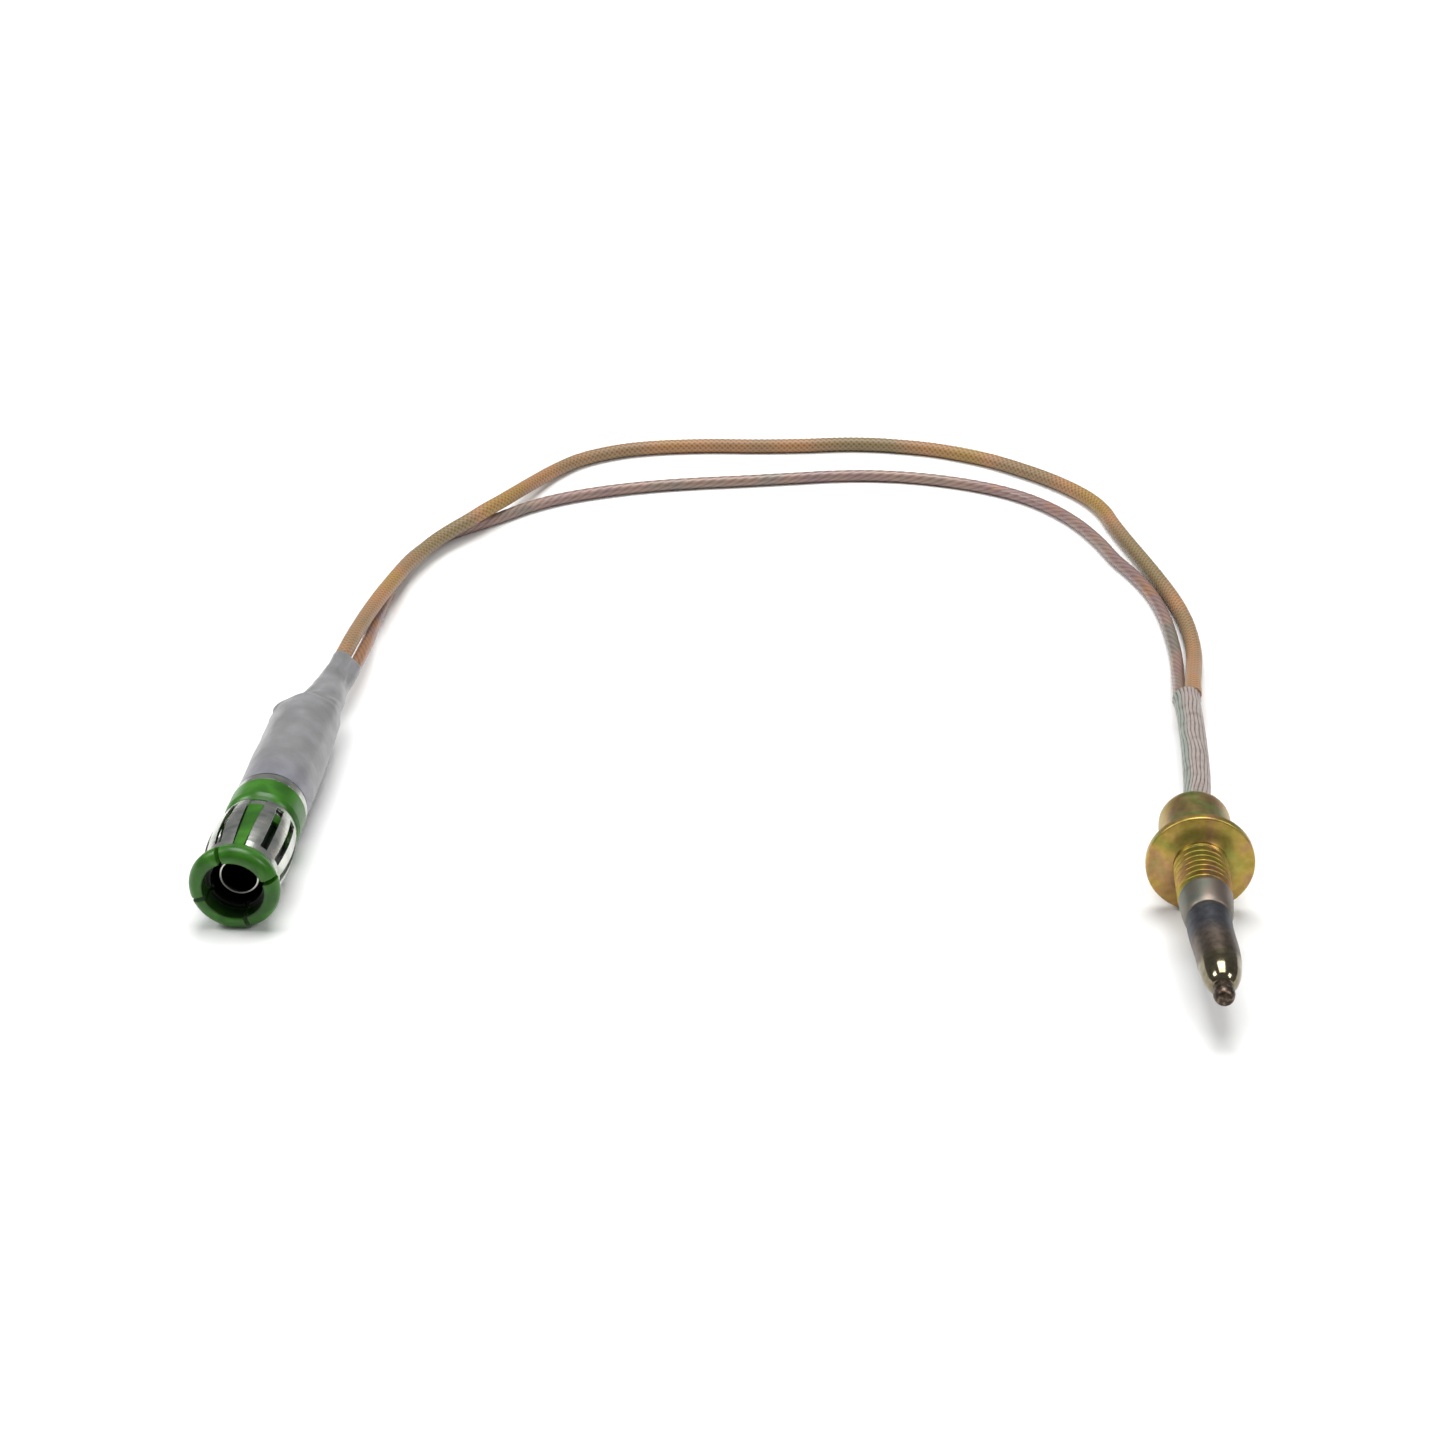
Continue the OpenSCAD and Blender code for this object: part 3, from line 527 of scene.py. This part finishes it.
lathe_lines = put(passivated, "TexWave", {
    "Vector": place.outputs["Object"], "Scale": 1400, "Distortion": 0.6, "Detail": 1,
}, wave_type="RINGS", rings_direction="Y")
lathe_bump = put(passivated, "Bump", {
    "Height": lathe_lines.outputs["Fac"], "Strength": 0.06, "Distance": 0.00003,
})
metal = put(passivated, "BsdfPrincipled", {
    "Base Color": gold.outputs[2], "Metallic": 0.95, "Roughness": gloss.outputs["Result"],
    "Normal": lathe_bump.outputs["Normal"],
})
put(passivated, "OutputMaterial", {"Surface": metal.outputs["BSDF"]})

thread_steps = 168
shank_stations = [-shank_len + shank_len * i / thread_steps for i in range(thread_steps + 1)]
shank = [(station, thread_form(station)) for station in shank_stations]
behind = rounded([
    (0.0, crest_r, 0), (0.0, flange_r, 0.0003), (flange_t, flange_r, 0.0003),
    (flange_t, collar_r, 0.0002), (collar_end, collar_r, 0.0016), (collar_end, 0.0028, 0.0004),
    (collar_end - 0.0003, chamber_r, 0.0002), (chamber_front, chamber_r, 0),
    (chamber_front, shank_bore_r, 0), (-shank_len, shank_bore_r, 0),
])
bush_profile = [(-shank_len, shank_bore_r)] + shank + behind[1:]
bush = skin("mounting_bush_turned", turned_rings(bush_profile, 120), passivated, closed_ends=False)
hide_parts("mounting_bush")

lip_front = 0.0084
lip_r = 0.0017
ring_lip = rounded([
    (lip_front, lip_r, 0), (lip_front, chamber_r, 0.0001), (0.0098, chamber_r, 0.0002),
    (collar_end, 0.0022, 0.0002), (0.0099, lip_r, 0.0002), (lip_front, lip_r, 0),
])
ring = skin("retaining_ring_rolled", turned_rings(ring_lip, 72), passivated, closed_ends=False)
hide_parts("retaining_ring")

# ---------------------------------------------------------------- Wires and joints inside the bush
# The core wire runs up the sheath in its insulator to a crimped splice under a white tube; the thin
# lead's wire is soldered to the bush. All of it is hidden once the collar is closed.
bare_wire = material("bare_copper_wire")
# Drawn copper: lengthwise streaks, darker where it was handled.
place = put(bare_wire, "TexCoord")
streaks = put(bare_wire, "TexNoise", {"Vector": place.outputs["Object"], "Scale": 2600, "Detail": 2})
copper_tones = put(bare_wire, "ValToRGB", {"Fac": streaks.outputs["Fac"]}, [
    (0.35, colour("9c5c38")), (0.65, colour("cf8a5c")),
])
metal = put(bare_wire, "BsdfPrincipled", {
    "Base Color": copper_tones.outputs["Color"], "Metallic": 1.0, "Roughness": 0.32,
})
put(bare_wire, "OutputMaterial", {"Surface": metal.outputs["BSDF"]})

fired_clay = material("fired_ceramic_tube")
# Matt, slightly grainy white ceramic with a cream cast.
place = put(fired_clay, "TexCoord")
grain = put(fired_clay, "TexNoise", {"Vector": place.outputs["Object"], "Scale": 3000, "Detail": 4})
cream = put(fired_clay, "ValToRGB", {"Fac": grain.outputs["Fac"]}, [
    (0.35, colour("d3cbb8")), (0.6, colour("ece6d8")),
])
clay = put(fired_clay, "BsdfPrincipled", {"Base Color": cream.outputs["Color"], "Roughness": 0.7})
put(fired_clay, "OutputMaterial", {"Surface": clay.outputs["BSDF"]})

dull_solder = material("solder_and_tinned_brass")
# Frozen solder: grey, a little frosted, softly mirrored.
place = put(dull_solder, "TexCoord")
frost = put(dull_solder, "TexNoise", {"Vector": place.outputs["Object"], "Scale": 2400, "Detail": 3})
greys = put(dull_solder, "ValToRGB", {"Fac": frost.outputs["Fac"]}, [
    (0.35, colour("96978f")), (0.65, colour("bdbeb8")),
])
metal = put(dull_solder, "BsdfPrincipled", {
    "Base Color": greys.outputs["Color"], "Metallic": 1.0, "Roughness": 0.4,
})
put(dull_solder, "OutputMaterial", {"Surface": metal.outputs["BSDF"]})

hidden = {
    "core_wire": (bare_wire, "wire"), "core_conductor_front": (bare_wire, "wire"),
    "ground_conductor_front": (bare_wire, "wire"), "core_conductor_rear": (bare_wire, "wire"),
    "ground_conductor_rear": (bare_wire, "wire"), "tip_insulator": (fired_clay, "ceramic"),
    "core_splice_tube": (fired_clay, "ceramic"), "core_crimp_tube": (fired_clay, "ceramic"),
    "core_splice": (dull_solder, "solder"), "ground_joint": (dull_solder, "solder"),
}
for name, (finish, slot) in hidden.items():
    cad[name].data.materials.clear()
    cad[name].data.materials.append(finish)

# ---------------------------------------------------------------- Braided sleeve
# A glass-fibre sleeve drawn over both conductors, stiff with clear varnish. It takes their shape, so a
# shallow groove runs along it, and its cut end behind is spread and frayed.
sleeve_r = 0.0016
sleeve_wall = 0.0004
sleeve_route = [
    (0, 0.0082, 0), (0, 0.0104, 0), (0.0006, 0.014, -0.0001), (0.0011, 0.019, -0.0003),
    (0.0015, 0.028, -0.0008), (0.0017, 0.036, -0.0013), (0.0018, 0.043, -0.002),
]
# The conductors lie either side of the middle, in this direction as an angle round the sleeve.
pair_roll = math.radians(51.5)
lobe = math.atan2(math.cos(pair_roll), -math.sin(pair_roll))
sleeve_line = smooth_line(sleeve_route, 0.0002)
sleeve_len = sum((b - a).length for a, b in zip(sleeve_line, sleeve_line[1:]))
sleeve_sides = 176
sleeve_yarns = 20
sleeve_pitch = 0.06
# The sleeve is round where the collar grips it; the groove deepens over the next few millimetres.
gripped_len = 0.002
groove_runin = 0.006
groove_depth = 0.00016
crease_depth = 0.00012
sleeve_yarn_depth = 0.0001
# Its cut end opens out a little.
spread_len = 0.0022
spread_out = 0.0002


def sleeve_yarn(turn, along):
    """Height, 0 to 1, of the lengthwise yarns, which wander a little, under a faint cross winding"""
    wander = 0.9 * math.sin(along * 330) + 0.5 * math.sin(along * 810 + 2 * turn)
    lengthwise = abs(math.cos(sleeve_yarns * turn / 2 + wander))
    return 0.75 * lengthwise + 0.25 * braid(turn, along, sleeve_yarns, sleeve_pitch)


def sleeve_radius(turn, along):
    """Outer radius: round in the collar, drawn in between the two conductors, spread at the end"""
    free = min(max((along - gripped_len) / groove_runin, 0), 1)
    spread = max((along - sleeve_len + spread_len) / spread_len, 0) ** 2
    side_on = abs(math.sin(turn - lobe))
    groove = groove_depth * side_on ** 3 + crease_depth * side_on ** 24
    yarns = sleeve_yarn_depth * (1 - sleeve_yarn(turn, along))
    return sleeve_r - groove * free * (1 - spread) - yarns + spread_out * spread


grey_braid = material("glass_fibre_sleeve_clear_varnish")
# Undyed glass fibre: silky and grey. Painted shade darkens the lines where the yarns part, and makes the
# low side darker and greener.
place = put(grey_braid, "TexCoord")
yarn = put(grey_braid, "Attribute", attribute_name="yarn_height")
half = put(grey_braid, "Attribute", attribute_name="low_side")
side_shade_tones = put(grey_braid, "ValToRGB", {"Fac": half.outputs["Fac"]}, [
    (0.4, colour("a39690")), (0.6, colour("8c9288")),
])
yarn_gap_shade = put(grey_braid, "ValToRGB", {"Fac": yarn.outputs["Fac"]}, [
    (0.22, colour("4a443f")), (0.62, colour("ffffff")),
])
both = put(grey_braid, "Mix", {
    0: 0.85, 6: side_shade_tones.outputs["Color"], 7: yarn_gap_shade.outputs["Color"],
}, data_type="RGBA", blend_type="MULTIPLY")
specks = put(grey_braid, "TexNoise", {"Vector": place.outputs["Object"], "Scale": 700, "Detail": 3})
speck_tones = put(grey_braid, "ValToRGB", {"Fac": specks.outputs["Fac"]}, [
    (0.3, colour("b8b0a8")), (0.5, colour("ffffff")),
])
worn_and_shaded = put(grey_braid, "Mix", {
    0: 0.6, 6: both.outputs[2], 7: speck_tones.outputs["Color"],
}, data_type="RGBA", blend_type="MULTIPLY")
cloth = put(grey_braid, "BsdfPrincipled", {
    "Base Color": worn_and_shaded.outputs[2], "Roughness": 0.5, "Sheen Weight": 0.05, "Coat Weight": 0.2,
    "Coat Roughness": 0.3,
})
put(grey_braid, "OutputMaterial", {"Surface": cloth.outputs["BSDF"]})

outside = tube_rings(sleeve_line, sleeve_sides, sleeve_radius)
inside = tube_rings(sleeve_line, sleeve_sides, lambda turn, along: sleeve_r - sleeve_wall)
lengths = [0.0]
for a, b in zip(sleeve_line, sleeve_line[1:]):
    lengths.append(lengths[-1] + (b - a).length)
# Each vertex's yarn height, and how far round it is to the low side, which takes painted shade.
heights = []
low_side = []
for along in lengths + lengths:
    for k in range(sleeve_sides):
        turn = 2 * math.pi * k / sleeve_sides
        heights.append(sleeve_yarn(turn, along))
        low_side.append(0.5 - 0.5 * math.cos(turn - lobe))
rings = outside + inside[::-1]
sleeve = skin("sleeve_braided", rings + [rings[0]], grey_braid, closed_ends=False, marks={
    "yarn_height": heights + heights[:sleeve_sides],
    "low_side": low_side + low_side[:sleeve_sides],
})
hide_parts("braided_sleeve")

# Cut ends of the yarns, each a short bristle that leans out from the rim.
yarn_ends = 46
bristle_r = 0.000045
bristle_rooted = 0.0003
chance = random.Random(7)
end_ahead = (sleeve_line[-1] - sleeve_line[-2]).normalized()
end_side = Vector((0, 0, 1)).cross(end_ahead).normalized()
end_top = end_ahead.cross(end_side)
points, faces = [], []
for i in range(yarn_ends):
    turn = 2 * math.pi * i / yarn_ends + chance.uniform(-0.06, 0.06)
    out = end_side * math.cos(turn) + end_top * math.sin(turn)
    across = out.cross(end_ahead)
    root = sleeve_line[-1] + out * (sleeve_r - 0.00008) - end_ahead * bristle_rooted
    length = chance.uniform(0.0004, 0.0011)
    lean = chance.uniform(-0.05, 0.4)
    base = len(points)
    for j in range(4):
        t = j / 3
        centre = root + end_ahead * (bristle_rooted + length * t) + out * length * lean * t * t
        for q in range(5):
            around = 2 * math.pi * q / 5
            edge_way = out * math.cos(around) + across * math.sin(around)
            points.append(centre + edge_way * bristle_r * (1 - 0.5 * t))
    for j in range(3):
        for q in range(5):
            a, b = base + j * 5 + q, base + j * 5 + (q + 1) % 5
            faces.append((a, b, b + 5, a + 5))
    faces.append(tuple(base + q for q in range(4, -1, -1)))
    faces.append(tuple(base + 15 + q for q in range(5)))
fray_mesh = bpy.data.meshes.new("sleeve_frayed_end")
fray_mesh.from_pydata(points, [], faces)
fray_mesh.shade_smooth()
fray_mesh.materials.append(grey_braid)
fray = bpy.data.objects.new("sleeve_frayed_end", fray_mesh)
bpy.context.scene.collection.objects.link(fray)
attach(fray, "root")

# ---------------------------------------------------------------- Connector moulding
# The nose and barrel in one: green nylon, moulded, with a rounded lip cut by four slits so that it
# gives a little as it is pushed home, and a key that stands in the spring contact's seam.
connector = Vector((-0.104, -0.0119, -0.0009))

green_nylon = material("nylon_green_moulded")
# Satin nylon: slightly cloudy, lets a little light in, with a faint flow mottle.
place = put(green_nylon, "TexCoord")
flow = put(green_nylon, "TexNoise", {
    "Vector": place.outputs["Object"], "Scale": 260, "Detail": 3, "Distortion": 0.8,
})
greens = put(green_nylon, "ValToRGB", {"Fac": flow.outputs["Fac"]}, [
    (0.35, colour("22530b")), (0.5, colour("2d6412")), (0.65, colour("3a751b")),
])
# Painted shade darkens the recess under the spring strips and the deep socket, by distance from the
# connector's axis.
painted_shade_r = 0.00332
unshaded_r = 0.0036
axis = put(green_nylon, "SeparateXYZ", {"Vector": place.outputs["Object"]})
off_x = put(green_nylon, "Math", {0: axis.outputs["X"], 1: -connector.x}, operation="ADD")
off_z = put(green_nylon, "Math", {0: axis.outputs["Z"], 1: -connector.z}, operation="ADD")
off = put(green_nylon, "CombineXYZ", {"X": off_x.outputs["Value"], "Z": off_z.outputs["Value"]})
from_middle = put(green_nylon, "VectorMath", {0: off.outputs["Vector"]}, operation="LENGTH")
shade_depth = put(green_nylon, "MapRange", {
    "Value": from_middle.outputs["Value"], "From Min": painted_shade_r, "From Max": unshaded_r,
})
painted_shade = put(green_nylon, "ValToRGB", {"Fac": shade_depth.outputs["Result"]}, [
    (0.0, colour("2a3a22")), (1.0, colour("ffffff")),
])
moulded = put(green_nylon, "Mix", {
    0: 1.0, 6: greens.outputs["Color"], 7: painted_shade.outputs["Color"],
}, data_type="RGBA", blend_type="MULTIPLY")
orange_peel = put(green_nylon, "TexNoise", {"Vector": place.outputs["Object"], "Scale": 1900, "Detail": 2})
soft_edge = put(green_nylon, "Bevel", {"Radius": 0.00012}, samples=6)
satin = put(green_nylon, "Bump", {
    "Height": orange_peel.outputs["Fac"], "Strength": 0.08, "Distance": 0.00005,
    "Normal": soft_edge.outputs["Normal"],
})
nylon = put(green_nylon, "BsdfPrincipled", {
    "Base Color": moulded.outputs[2], "Roughness": 0.32, "Specular IOR Level": 0.35,
    "Subsurface Weight": 0.06, "Subsurface Radius": (0.0006, 0.0012, 0.0003), "Subsurface Scale": 1.0,
    "Normal": satin.outputs["Normal"],
})
put(green_nylon, "OutputMaterial", {"Surface": nylon.outputs["BSDF"]})

for name in ("connector_nose", "rear_ring"):
    cad[name].data.materials.clear()
    cad[name].data.materials.append(green_nylon)

# ---------------------------------------------------------------- Contacts
# Spring contact, ground terminal, its crimp and the centre socket: brass sheet and bar, silver-plated.
# The spring contact is rolled round the moulding; the terminal sits behind the green ring.
silver_plate = material("silver_plate_on_brass")
# Freshly plated and lightly rubbed: bright, soft reflections, faint warm tarnish in places.
place = put(silver_plate, "TexCoord")
tarnish = put(silver_plate, "TexNoise", {"Vector": place.outputs["Object"], "Scale": 420, "Detail": 4})
silvers = put(silver_plate, "ValToRGB", {"Fac": tarnish.outputs["Fac"]}, [
    (0.32, colour("a9aca0")), (0.5, colour("cfd2cc")), (0.68, colour("dcd8cc")),
])
rub = put(silver_plate, "MapRange", {"Value": tarnish.outputs["Fac"], "To Min": 0.16, "To Max": 0.34})
sheet_edge = put(silver_plate, "Bevel", {"Radius": 0.00006}, samples=4)
metal = put(silver_plate, "BsdfPrincipled", {
    "Base Color": silvers.outputs["Color"], "Metallic": 1.0, "Roughness": rub.outputs["Result"],
    "Normal": sheet_edge.outputs["Normal"],
})
put(silver_plate, "OutputMaterial", {"Surface": metal.outputs["BSDF"]})

bore_with_painted_shade = material("turned_brass_plated_with_painted_bore_shade")
# Painted shade darkens the narrow bore, so only the rim is bright: it goes dark within 0.5 mm.
place = put(bore_with_painted_shade, "TexCoord")
axis = put(bore_with_painted_shade, "SeparateXYZ", {"Vector": place.outputs["Object"]})
depth = put(bore_with_painted_shade, "MapRange", {"Value": axis.outputs["Y"], "From Min": -0.0086, "From Max": -0.0081})
dull = put(bore_with_painted_shade, "ValToRGB", {"Fac": depth.outputs["Result"]}, [
    (0.0, colour("dcdcd2")), (1.0, colour("2e2c26")),
])
metal = put(bore_with_painted_shade, "BsdfPrincipled", {
    "Base Color": dull.outputs["Color"], "Metallic": 1.0, "Roughness": 0.3,
})
put(bore_with_painted_shade, "OutputMaterial", {"Surface": metal.outputs["BSDF"]})

for name, finish in (
    ("outer_contact", silver_plate), ("ground_terminal", silver_plate), ("ground_crimp", silver_plate),
    ("inner_contact", bore_with_painted_shade),
):
    cad[name].data.materials.clear()
    cad[name].data.materials.append(finish)

# ---------------------------------------------------------------- Heat-shrink sleeve
# Thin clear film shrunk with hot air over the terminal, the crimps and both leads. It has gone cloudy,
# steps down on one side behind the crimp with a few torn points, and clings to the leads at its tail.
shrink_front = 0.0069
shrink_back = 0.043
lead_centres = ((-0.0007, 0.0006, 0.00105), (0.0008, -0.00075, 0.00085))


def hug(turn):
    """Distance from the middle to a film drawn tight round both leads, in one direction"""
    way = Vector((math.cos(turn), math.sin(turn)))
    low, high = 0.0, 0.004
    for _ in range(18):
        middle = (low + high) / 2
        p = way * middle
        inside_film = False
        for i in range(13):
            t = i / 12
            x, z, r = (a * (1 - t) + b * t for a, b in zip(*lead_centres))
            inside_film = inside_film or (p - Vector((x, z))).length <= r + 0.00006
        low, high = (middle, high) if inside_film else (low, middle)
    return low


def eased(t):
    t = min(max(t, 0), 1)
    return t * t * (3 - 2 * t)


def between(stations, at):
    """Value at a station in a list of (station, value) pairs, eased from one to the next"""
    for (a, first), (b, last) in zip(stations, stations[1:]):
        if at <= b:
            return first + (last - first) * eased((at - a) / (b - a))
    return stations[-1][1]


# Outer radius and sideways lean of the film's middle, by distance along Y
film_radius = [
    (0.0069, 0.0042), (0.015, 0.0042), (0.02, 0.00418), (0.025, 0.004), (0.0272, 0.0038),
    (0.0285, 0.0032), (0.0305, 0.0026), (0.034, 0.00238), (0.038, 0.0021), (0.043, 0.0019),
]
film_lean = [
    (0.0069, 0.0), (0.0189, 0.0), (0.025, -0.00015), (0.0272, -0.0001), (0.0285, 0.0004),
    (0.0305, 0.00082), (0.034, 0.00096), (0.043, 0.0016),
]
shrink_sides = 96
shrink_steps = 220
# Behind this station the film closes in on the leads until it clings to them.
cling_from = 0.032
cling_len = 0.008
# Lengthwise folds gather where the film steps down.
folds_at = 0.0295
folds_reach = 0.003
fold_depth = 0.00016
# Torn points on the side where the film steps: place along Y, place round the film, height, half width.
torn_points = (
    (0.0272, 2.9, 0.0006, 0.0005), (0.029, 2.85, 0.0009, 0.0004), (0.0312, 2.95, 0.0007, 0.0005),
    (0.0337, 3.0, 0.0004, 0.0005), (0.0248, 2.9, 0.0002, 0.0008),
)
torn_round = 0.4
hugged = [hug(-2 * math.pi * k / shrink_sides) for k in range(shrink_sides)]


def film(k, y, inset):
    """One point of the film: eased from a round shell to a skin drawn over both leads, and wrinkled"""
    turn = 2 * math.pi * k / shrink_sides
    cling = eased((y - cling_from) / cling_len)
    r = between(film_radius, y)
    lean = between(film_lean, y)
    round_r = r * (1 - cling) + hugged[k] * cling
    where = Vector((math.cos(turn), math.sin(turn), y * 150))
    gather = math.exp(-((y - folds_at) / folds_reach) ** 2)
    folds = fold_depth * gather * math.cos(6 * turn + 1.3 + 2 * math.sin(y * 500))
    wave = 0.0001 * noise.noise(where * 1.1) + 0.00005 * noise.noise(where * 3.1)
    calm = eased((y - shrink_front) / 0.003)
    points_up = 0.0
    for station, way, size, width in torn_points:
        off = abs((-turn - way + math.pi) % (2 * math.pi) - math.pi)
        points_up += size * math.exp(-abs(y - station) / width - (off / torn_round) ** 2)
    r = round_r + (folds + wave) * calm + points_up - inset
    return Vector((
        connector.x + lean + r * math.cos(turn), y, connector.z - r * math.sin(turn),
    ))


shrink_film = material("heat_shrink_film_cloudy")
# Crazed clear film: grey and milky, glossy on the ridges, with a lilac cast near the connector.
place = put(shrink_film, "TexCoord")
axis = put(shrink_film, "SeparateXYZ", {"Vector": place.outputs["Object"]})
near = put(shrink_film, "MapRange", {"Value": axis.outputs["Y"], "From Min": 0.0069, "From Max": 0.0125})
cloud = put(shrink_film, "TexNoise", {"Vector": place.outputs["Object"], "Scale": 360, "Detail": 4})
milk = put(shrink_film, "ValToRGB", {"Fac": cloud.outputs["Fac"]}, [
    (0.35, colour("8a8a8b")), (0.5, colour("929293")), (0.66, colour("9d9d9f")),
])
lilac = put(shrink_film, "ValToRGB", {"Fac": near.outputs["Result"]}, [
    (0.0, colour("f0effc")), (1.0, colour("ffffff")),
])
cast = put(shrink_film, "Mix", {
    0: 1.0, 6: milk.outputs["Color"], 7: lilac.outputs["Color"],
}, data_type="RGBA", blend_type="MULTIPLY")
craze = put(shrink_film, "TexNoise", {"Vector": place.outputs["Object"], "Scale": 1100, "Detail": 3})
crazed = put(shrink_film, "Bump", {"Height": craze.outputs["Fac"], "Strength": 0.45, "Distance": 0.00012})
film_surface = put(shrink_film, "BsdfPrincipled", {
    "Base Color": cast.outputs[2], "Roughness": 0.34, "IOR": 1.45, "Transmission Weight": 0.25,
    "Subsurface Weight": 0.2, "Subsurface Radius": (0.0008, 0.0008, 0.0008), "Subsurface Scale": 1.0,
    "Normal": crazed.outputs["Normal"],
})
put(shrink_film, "OutputMaterial", {"Surface": film_surface.outputs["BSDF"]})

stations = [shrink_front + (shrink_back - shrink_front) * i / shrink_steps for i in range(shrink_steps + 1)]
film_wall = 0.00018
outer_film = [[film(k, y, 0) for k in range(shrink_sides)] for y in stations]
# The film is stretched thinner where it clings to the leads.
walls = [film_wall * (1 - 0.75 * eased((y - cling_from) / cling_len)) for y in stations]
inner_film = [[film(k, y, wall) for k in range(shrink_sides)] for y, wall in zip(stations, walls)]
film_rings = outer_film + inner_film[::-1]
shrink = skin("heat_shrink_film", film_rings + [film_rings[0]], shrink_film, closed_ends=False)
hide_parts("heat_shrink")

# ---------------------------------------------------------------- Table and light
# A pale matt table that the flange's rim rests on, under broad, soft lights: one overhead and one
# from each side, the left one stronger. The camera and all of this stay out of the part.
table_top = material("pale_matt_table")
# Painted board: nearly white, with a grain too faint to see except in the shadow's edge.
place = put(table_top, "TexCoord")
faint = put(table_top, "TexNoise", {"Vector": place.outputs["Object"], "Scale": 40, "Detail": 3})
whites = put(table_top, "ValToRGB", {"Fac": faint.outputs["Fac"]}, [
    (0.3, colour("f4f4f3")), (0.7, colour("f8f8f7")),
])
paint = put(table_top, "BsdfPrincipled", {"Base Color": whites.outputs["Color"], "Roughness": 0.7})
put(table_top, "OutputMaterial", {"Surface": paint.outputs["BSDF"]})
table_size = 3.0
table_mesh = bpy.data.meshes.new("table")
table_mesh.from_pydata(
    [(x * table_size, y * table_size, -flange_r) for x, y in ((-1, -1), (1, -1), (1, 1), (-1, 1))],
    [], [(0, 1, 2, 3)],
)
table_mesh.materials.append(table_top)
table = bpy.data.objects.new("table", table_mesh)
bpy.context.scene.collection.objects.link(table)

middle = Vector((-0.05, 0.05, 0))
for name, spot, size, watts in (
    ("overhead", (-0.05, 0.22, 0.8), 0.5, 6.5),
    ("left_softbox", (-0.6, 0.0, 0.5), 0.25, 2.2),
    ("right_softbox", (0.5, -0.1, 0.5), 0.2, 1.4),
):
    light_data = bpy.data.lights.new(name, "AREA")
    light_data.size = size
    light_data.energy = watts
    light = bpy.data.objects.new(name, light_data)
    light.location = spot
    light.rotation_mode = "QUATERNION"
    light.rotation_quaternion = (middle - Vector(spot)).to_track_quat("-Z", "Y")
    bpy.context.scene.collection.objects.link(light)

world = bpy.data.worlds.new("soft_room")
world.use_nodes = True
world.node_tree.nodes["Background"].inputs["Color"].default_value = colour("f2f3f5")
world.node_tree.nodes["Background"].inputs["Strength"].default_value = 0.25
bpy.context.scene.world = world

# Colours are shown as they are, with no film curve over them.
bpy.context.scene.view_settings.view_transform = "Standard"
